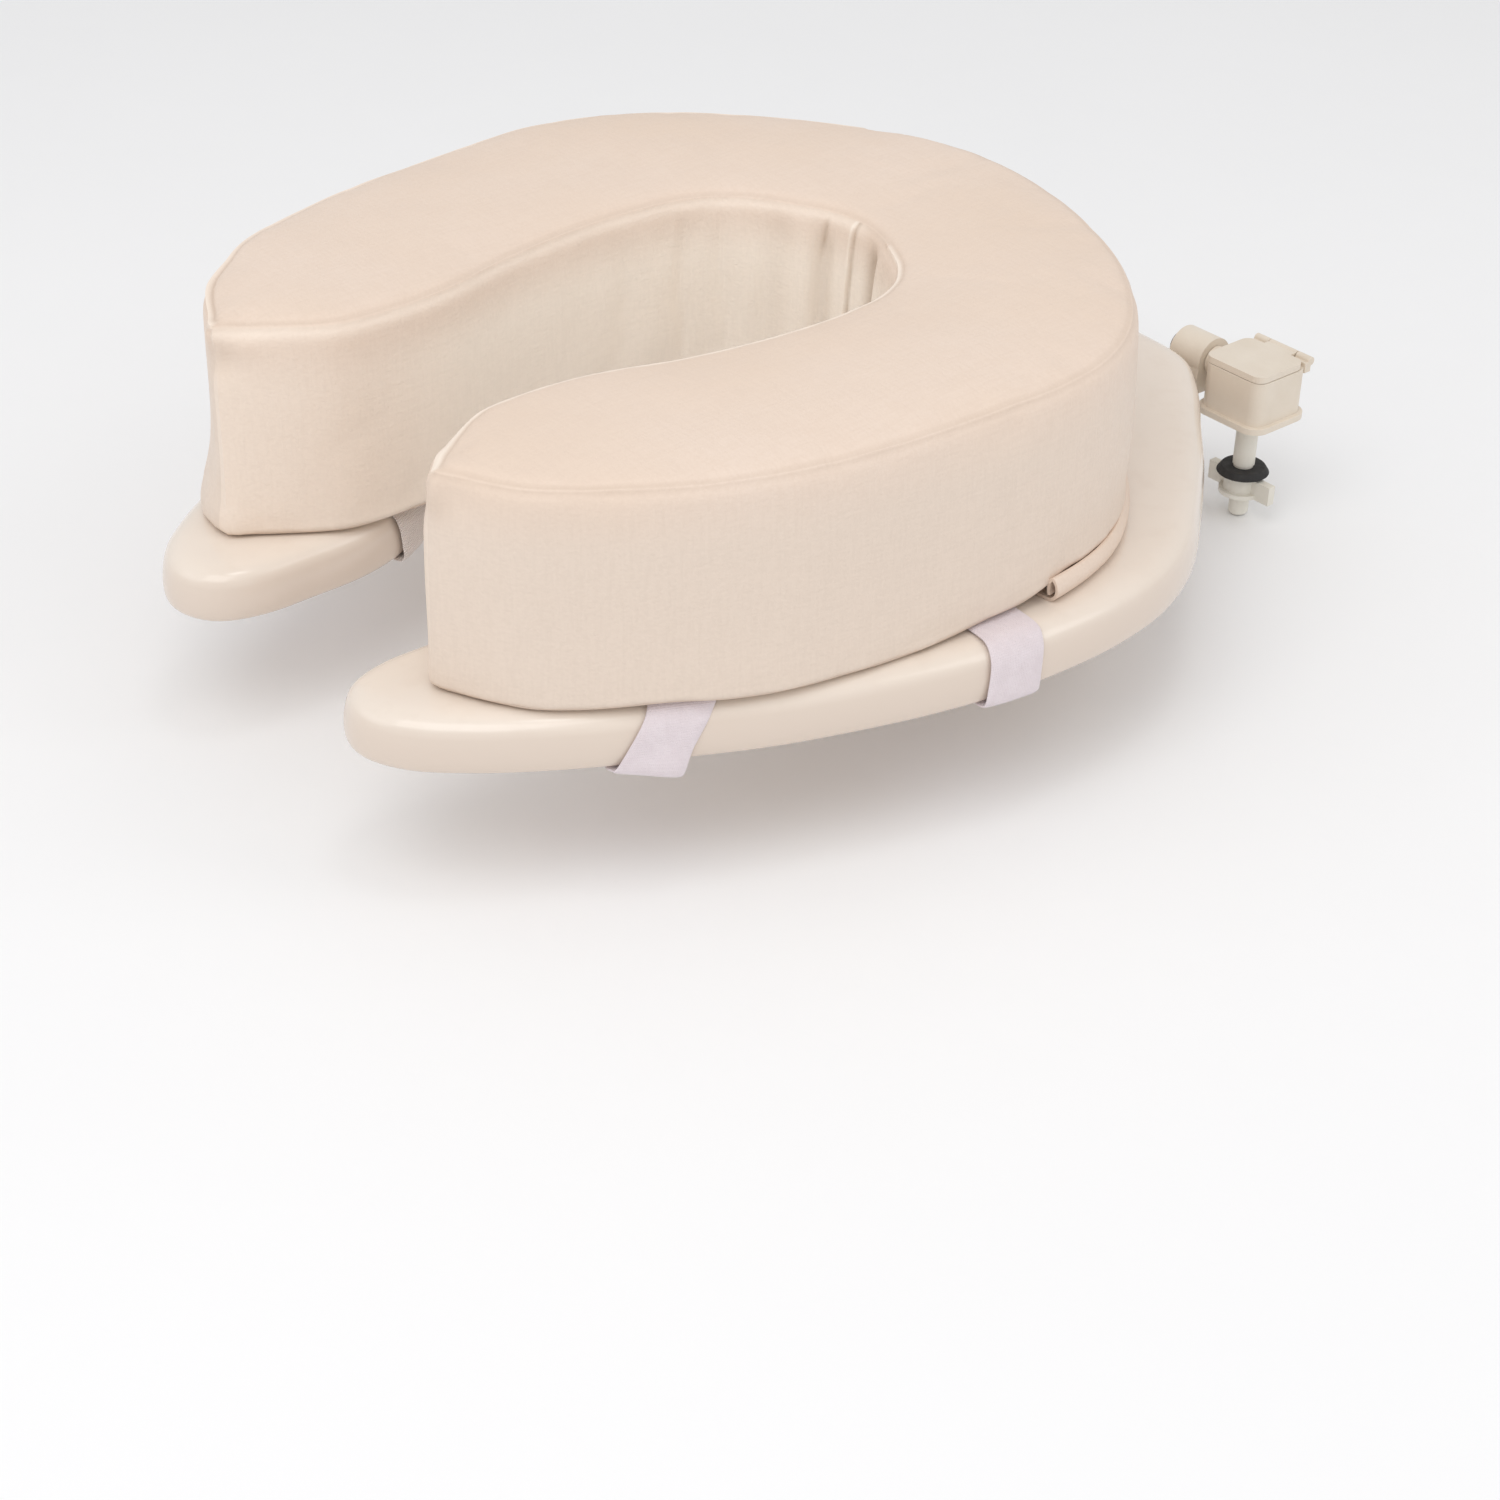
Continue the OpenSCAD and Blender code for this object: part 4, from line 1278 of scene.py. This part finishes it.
def make_strap(side, end, place, own_edge, far_edge, root, lean, tail_length, sag, seed):
    """Strap from under the cushion, over its own edge of the ring and on to a flat tail.

    It is laid out from the right edge's point: x out of the ring, y along the edge.
    """
    label = f"{end}_{side}_{place}"
    kind, material = ("loop", LOOP_TAPE) if place == "outer" else ("hook", HOOK_TAPE)
    tail_z = sum(tail_heights(end, place)) / 2
    origin, out = own_edge
    along = turn_left(out)
    toward = unit(far_edge[0] - origin)
    half = STRAP_HALF_WIDTH / abs(toward @ out)
    above = 0.34 + STRAP_THICKNESS / 2
    # an outer tail lies close to the ring until it meets the inner one
    fold_z = max(tail_z, RING_FOOT - 0.25 - STRAP_THICKNESS / 2)
    # centre line of the upper part, x and z: out from under the cushion, over the shoulder,
    # down the edge
    upper = Path(smooth_open(
        [
            (-root, ROOT_Z), (-(root + 9.5) / 2, ROOT_Z), (-9.2, RING_TOP + above),
            (-6.2, RING_TOP + above - 0.55), (-3.1, RING_TOP - 1.35), (-0.6, RING_TOP - 4.4),
            (0.75, RING_TOP - 9.0), (1.35, RING_TOP - 14.2), (1.72, fold_z + 5.2),
            (1.88, fold_z + 3.0), (1.62, fold_z + 1.35), (0.65, fold_z + 0.32), (-0.9, fold_z),
        ],
        5,
    ))
    # closer rows where the strap turns under the ring
    turn = upper.length - 9
    upper_places = np.concatenate([np.arange(0, turn, 2.0), np.linspace(turn, upper.length, 14)])
    tail_places = np.concatenate(
        [[1.2, 2.6, 4.2, 6.2], np.arange(8.5, tail_length - 0.1, 2.4), [tail_length]]
    )
    y = np.linspace(-half, half, 15)
    slack = ((y / half + 1) / 2) ** 1.15 * sag     # one side hangs lower
    rows = []
    upper_points = upper.at(upper_places)
    for (x, z), s in zip(upper_points, upper_places):
        height = np.clip((z - tail_z) / (RING_TOP + 1.2 - tail_z), 0, 1)
        row_y = y + lean * height
        # the edge of the ring curves away from its tangent line, but under the cushion
        # the strap stays flat
        curve = -(row_y ** 2) / (2 * 190.0) * ease((RING_TOP + 0.4 - z) / 3.0)
        low = ease((15.0 - z) / 10.0)
        flutter = 0.25 * wobble((s + seed) / 15.0, y / 11.0, seed, octaves=1)
        row_x = x + 1.5 * slack * low + flutter * ease((RING_TOP - 3 - z) / 6)
        row_z = z - 4.4 * slack * low * ease((12.0 - z) / 8.0)
        rows.append(np.column_stack([row_x + curve, row_y, row_z]))
    end_x = upper_points[-1][0]
    for s in tail_places:
        hang = slack * math.exp(-(s / 10.0) ** 2)
        row_x = end_x + s * (toward @ out) + 1.5 * hang
        row_z = fold_z - (fold_z - tail_z) * ease((s - 11.0) / 15.0) - 4.4 * hang
        row_z = row_z - 0.10 * math.sin(s / 9.0 + seed) * ease((s - 8.0) / 8.0)
        rows.append(np.column_stack([row_x, y + s * (toward @ along), row_z]))
    places = np.concatenate([upper_places, upper.length + tail_places])
    local = np.array(rows)
    # a cut end is never quite square, and selvedges are thinner and slightly wavy
    local[-1, :, 0] += 0.5 * wobble(y / 7.0, seed, 0.5, octaves=1)
    local[:, 0, 1] += 0.18 * wobble(places / 12.0, seed, 1.5, octaves=1)
    local[:, -1, 1] += 0.18 * wobble(places / 12.0, seed, 4.5, octaves=1)
    grid = local.copy()
    grid[..., :2] = origin + local[..., :1] * out + local[..., 1:2] * along
    thickness = np.full(grid.shape[:2], STRAP_THICKNESS - 0.1)
    thickness[:, [0, -1]] = 0.55
    thickness[:, [1, -2]] = STRAP_THICKNESS - 0.3
    thickness[[0, -1], :] = 0.8
    uv = np.stack(np.broadcast_arrays(places[:, None], (y + 100)[None, :]), -1).astype(float)
    # from the fold the strap turns over into the tail; a sloping line through the fold,
    # seat_end to tail_end, is worked out here but not used
    seat_end = np.array([*(origin + 1.65 * out), tail_z])
    tail_end = seat_end + np.array([*(-3.4 * out), -4.1])
    if side == "left":
        grid[..., 0] *= -1
        grid, uv = grid[:, ::-1], uv[:, ::-1]
        seat_end[0] *= -1
        tail_end[0] *= -1
    ob = grid_solid(f"{label}_{kind}_strap", grid, thickness, uv)
    subdivide(ob)
    dress(ob, material)
    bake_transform(ob)
    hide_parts(f"{label}_strap", f"{label}_tail")


tail_low, tail_high = tail_heights("front", "outer")
ROOT_Z = box("front_right_outer_strap")[1][2] - (tail_high - tail_low) / 2
FRONT_OUTER = ring_edge(-391, RIGHT_OUTER)
FRONT_INNER = ring_edge(-365, RIGHT_INNER)
REAR_OUTER = ring_edge(-256, RIGHT_OUTER)
REAR_INNER = ring_edge(-245, RIGHT_INNER)
# end, place, own edge, far edge, reach under the cushion, lean, tail length, sag, seed
STRAPS = (
    ("front", "outer", FRONT_OUTER, FRONT_INNER, 16, 16, 56, 1.0, 2.0),
    ("front", "inner", FRONT_INNER, FRONT_OUTER, 12, 0, 50, 0.0, 5.0),
    ("rear", "outer", REAR_OUTER, REAR_INNER, 24, 5, 46, 0.15, 11.0),
    ("rear", "inner", REAR_INNER, REAR_OUTER, 12, 0, 40, 0.0, 14.0),
)
for side, seed_shift in (("right", 0.0), ("left", 3.0)):
    for *strap, seed in STRAPS:
        make_strap(side, *strap, seed + seed_shift)


# ------------------------------------------------- hinge and fixing hardware

def finish_cad(node, material, slot, bevel_width):
    """Keeps a CAD piece, with its edges rounded."""
    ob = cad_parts[node]
    dress(ob, material)
    smooth_faces(ob.data, False)
    weld = ob.modifiers.new("Weld", "WELD")
    weld.merge_threshold = 1e-6
    planar = ob.modifiers.new("Planar", "DECIMATE")
    planar.decimate_type = "DISSOLVE"
    planar.angle_limit = math.radians(1.0)
    bevel = ob.modifiers.new("Bevel", "BEVEL")
    bevel.width = bevel_width / 1000.0
    bevel.segments = 3
    bevel.limit_method = "ANGLE"
    bevel.angle_limit = math.radians(38)
    bevel.harden_normals = False
    bevel.use_clamp_overlap = True


# node, material, slot, bevel width
for piece in (
    ("ring_bumpers", BUMPER, "bumper", 0.8),
    ("left_hinge_leaf", HINGE_PLASTIC, "hinge_plastic", 0.5),
    ("right_hinge_leaf", HINGE_PLASTIC, "hinge_plastic", 0.5),
    ("leaf_screws", STEEL, "steel", 0.2),
    ("left_hinge_post", HINGE_PLASTIC, "hinge_plastic", 1.4),
    ("right_hinge_post", HINGE_PLASTIC, "hinge_plastic", 1.4),
    ("left_hinge_pin", STEEL, "steel", 0.4),
    ("right_hinge_pin", STEEL, "steel", 0.4),
    ("hinge_bolts", NYLON, "bolt_nylon", 0.35),
    ("rim_washers", RUBBER, "washer_rubber", 0.35),
    ("wing_nuts", NYLON, "bolt_nylon", 0.6),
    ("left_bolt_cap", HINGE_PLASTIC, "hinge_plastic", 1.0),
    ("right_bolt_cap", HINGE_PLASTIC, "hinge_plastic", 1.0),
):
    finish_cad(*piece)


# ---------------------------------------------------------- stage and camera (metres)

LIGHT_TARGET = Vector((0, -0.25, 0.05))


def make_floor():
    lowest = min(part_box(node)[0].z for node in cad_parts)
    bpy.ops.mesh.primitive_plane_add(size=9.0, location=(0, 0, lowest - 0.0006))
    floor = bpy.context.object
    floor.name = "studio_floor"
    mat = Material("studio_floor_paint", Specular_IOR_Level=0.2)
    mat.colour(mat.mix(mat.noise(scale=3.0, detail=2.0), srgb(249, 249, 250),
                       srgb(246, 246, 247)))
    mat.rough(mat.noise(scale=40.0), to=(0.6, 0.8))
    dress(floor, mat.data)


def make_world():
    world = bpy.data.worlds.new("studio")
    bpy.context.scene.world = world
    world.use_nodes = True
    background = world.node_tree.nodes["Background"]
    background.inputs["Color"].default_value = (1.0, 1.0, 1.0, 1.0)
    background.inputs["Strength"].default_value = 0.69


def softbox(name, place, size, power, colour=(1, 1, 1)):
    light = bpy.data.lights.new(name, "AREA")
    light.shape = "RECTANGLE"
    light.size, light.size_y = size
    light.energy = power
    light.color = colour
    ob = bpy.data.objects.new(name, light)
    ob.location = place
    ob.rotation_euler = (LIGHT_TARGET - Vector(place)).to_track_quat("-Z", "Y").to_euler()
    bpy.context.scene.collection.objects.link(ob)


def make_camera():
    eye = Vector((0.79944, -0.90351, 0.56911))
    forward = Vector((-0.63749, 0.53772, -0.55179)).normalized()
    roll = math.radians(1.016)
    right = forward.cross(Vector((0, 0, 1))).normalized()
    up = right.cross(forward)
    camera_x = math.cos(roll) * right + math.sin(roll) * up
    camera_y = -math.sin(roll) * right + math.cos(roll) * up
    camera = bpy.data.cameras.new("photo_camera")
    camera.lens = 68.03
    camera.sensor_width = 36.0
    camera.clip_start = 0.01
    ob = bpy.data.objects.new("photo_camera", camera)
    pose = Matrix((camera_x, camera_y, -forward)).transposed().to_4x4()
    pose.translation = eye
    ob.matrix_world = pose
    bpy.context.scene.collection.objects.link(ob)
    bpy.context.scene.camera = ob


make_floor()
make_world()
softbox("key_softbox", place=(0.5, -1.25, 1.74), size=(1.5, 1.2), power=10.6,
        colour=(1.0, 0.997, 0.99))
softbox("front_softbox", place=(-0.6, -1.85, 0.98), size=(1.4, 1.0), power=2.6)
softbox("side_softbox", place=(1.6, -0.65, 0.78), size=(1.0, 1.0), power=1.0)
softbox("top_softbox", place=(0.35, -0.3, 2.0), size=(0.4, 0.4), power=1.9)
softbox("rear_softbox", place=(1.0, 0.55, 1.15), size=(0.8, 0.8), power=2.4)
make_camera()

view = bpy.context.scene.view_settings
view.view_transform = "Standard"
view.look = "None"
view.exposure = 0.0
view.gamma = 1.0
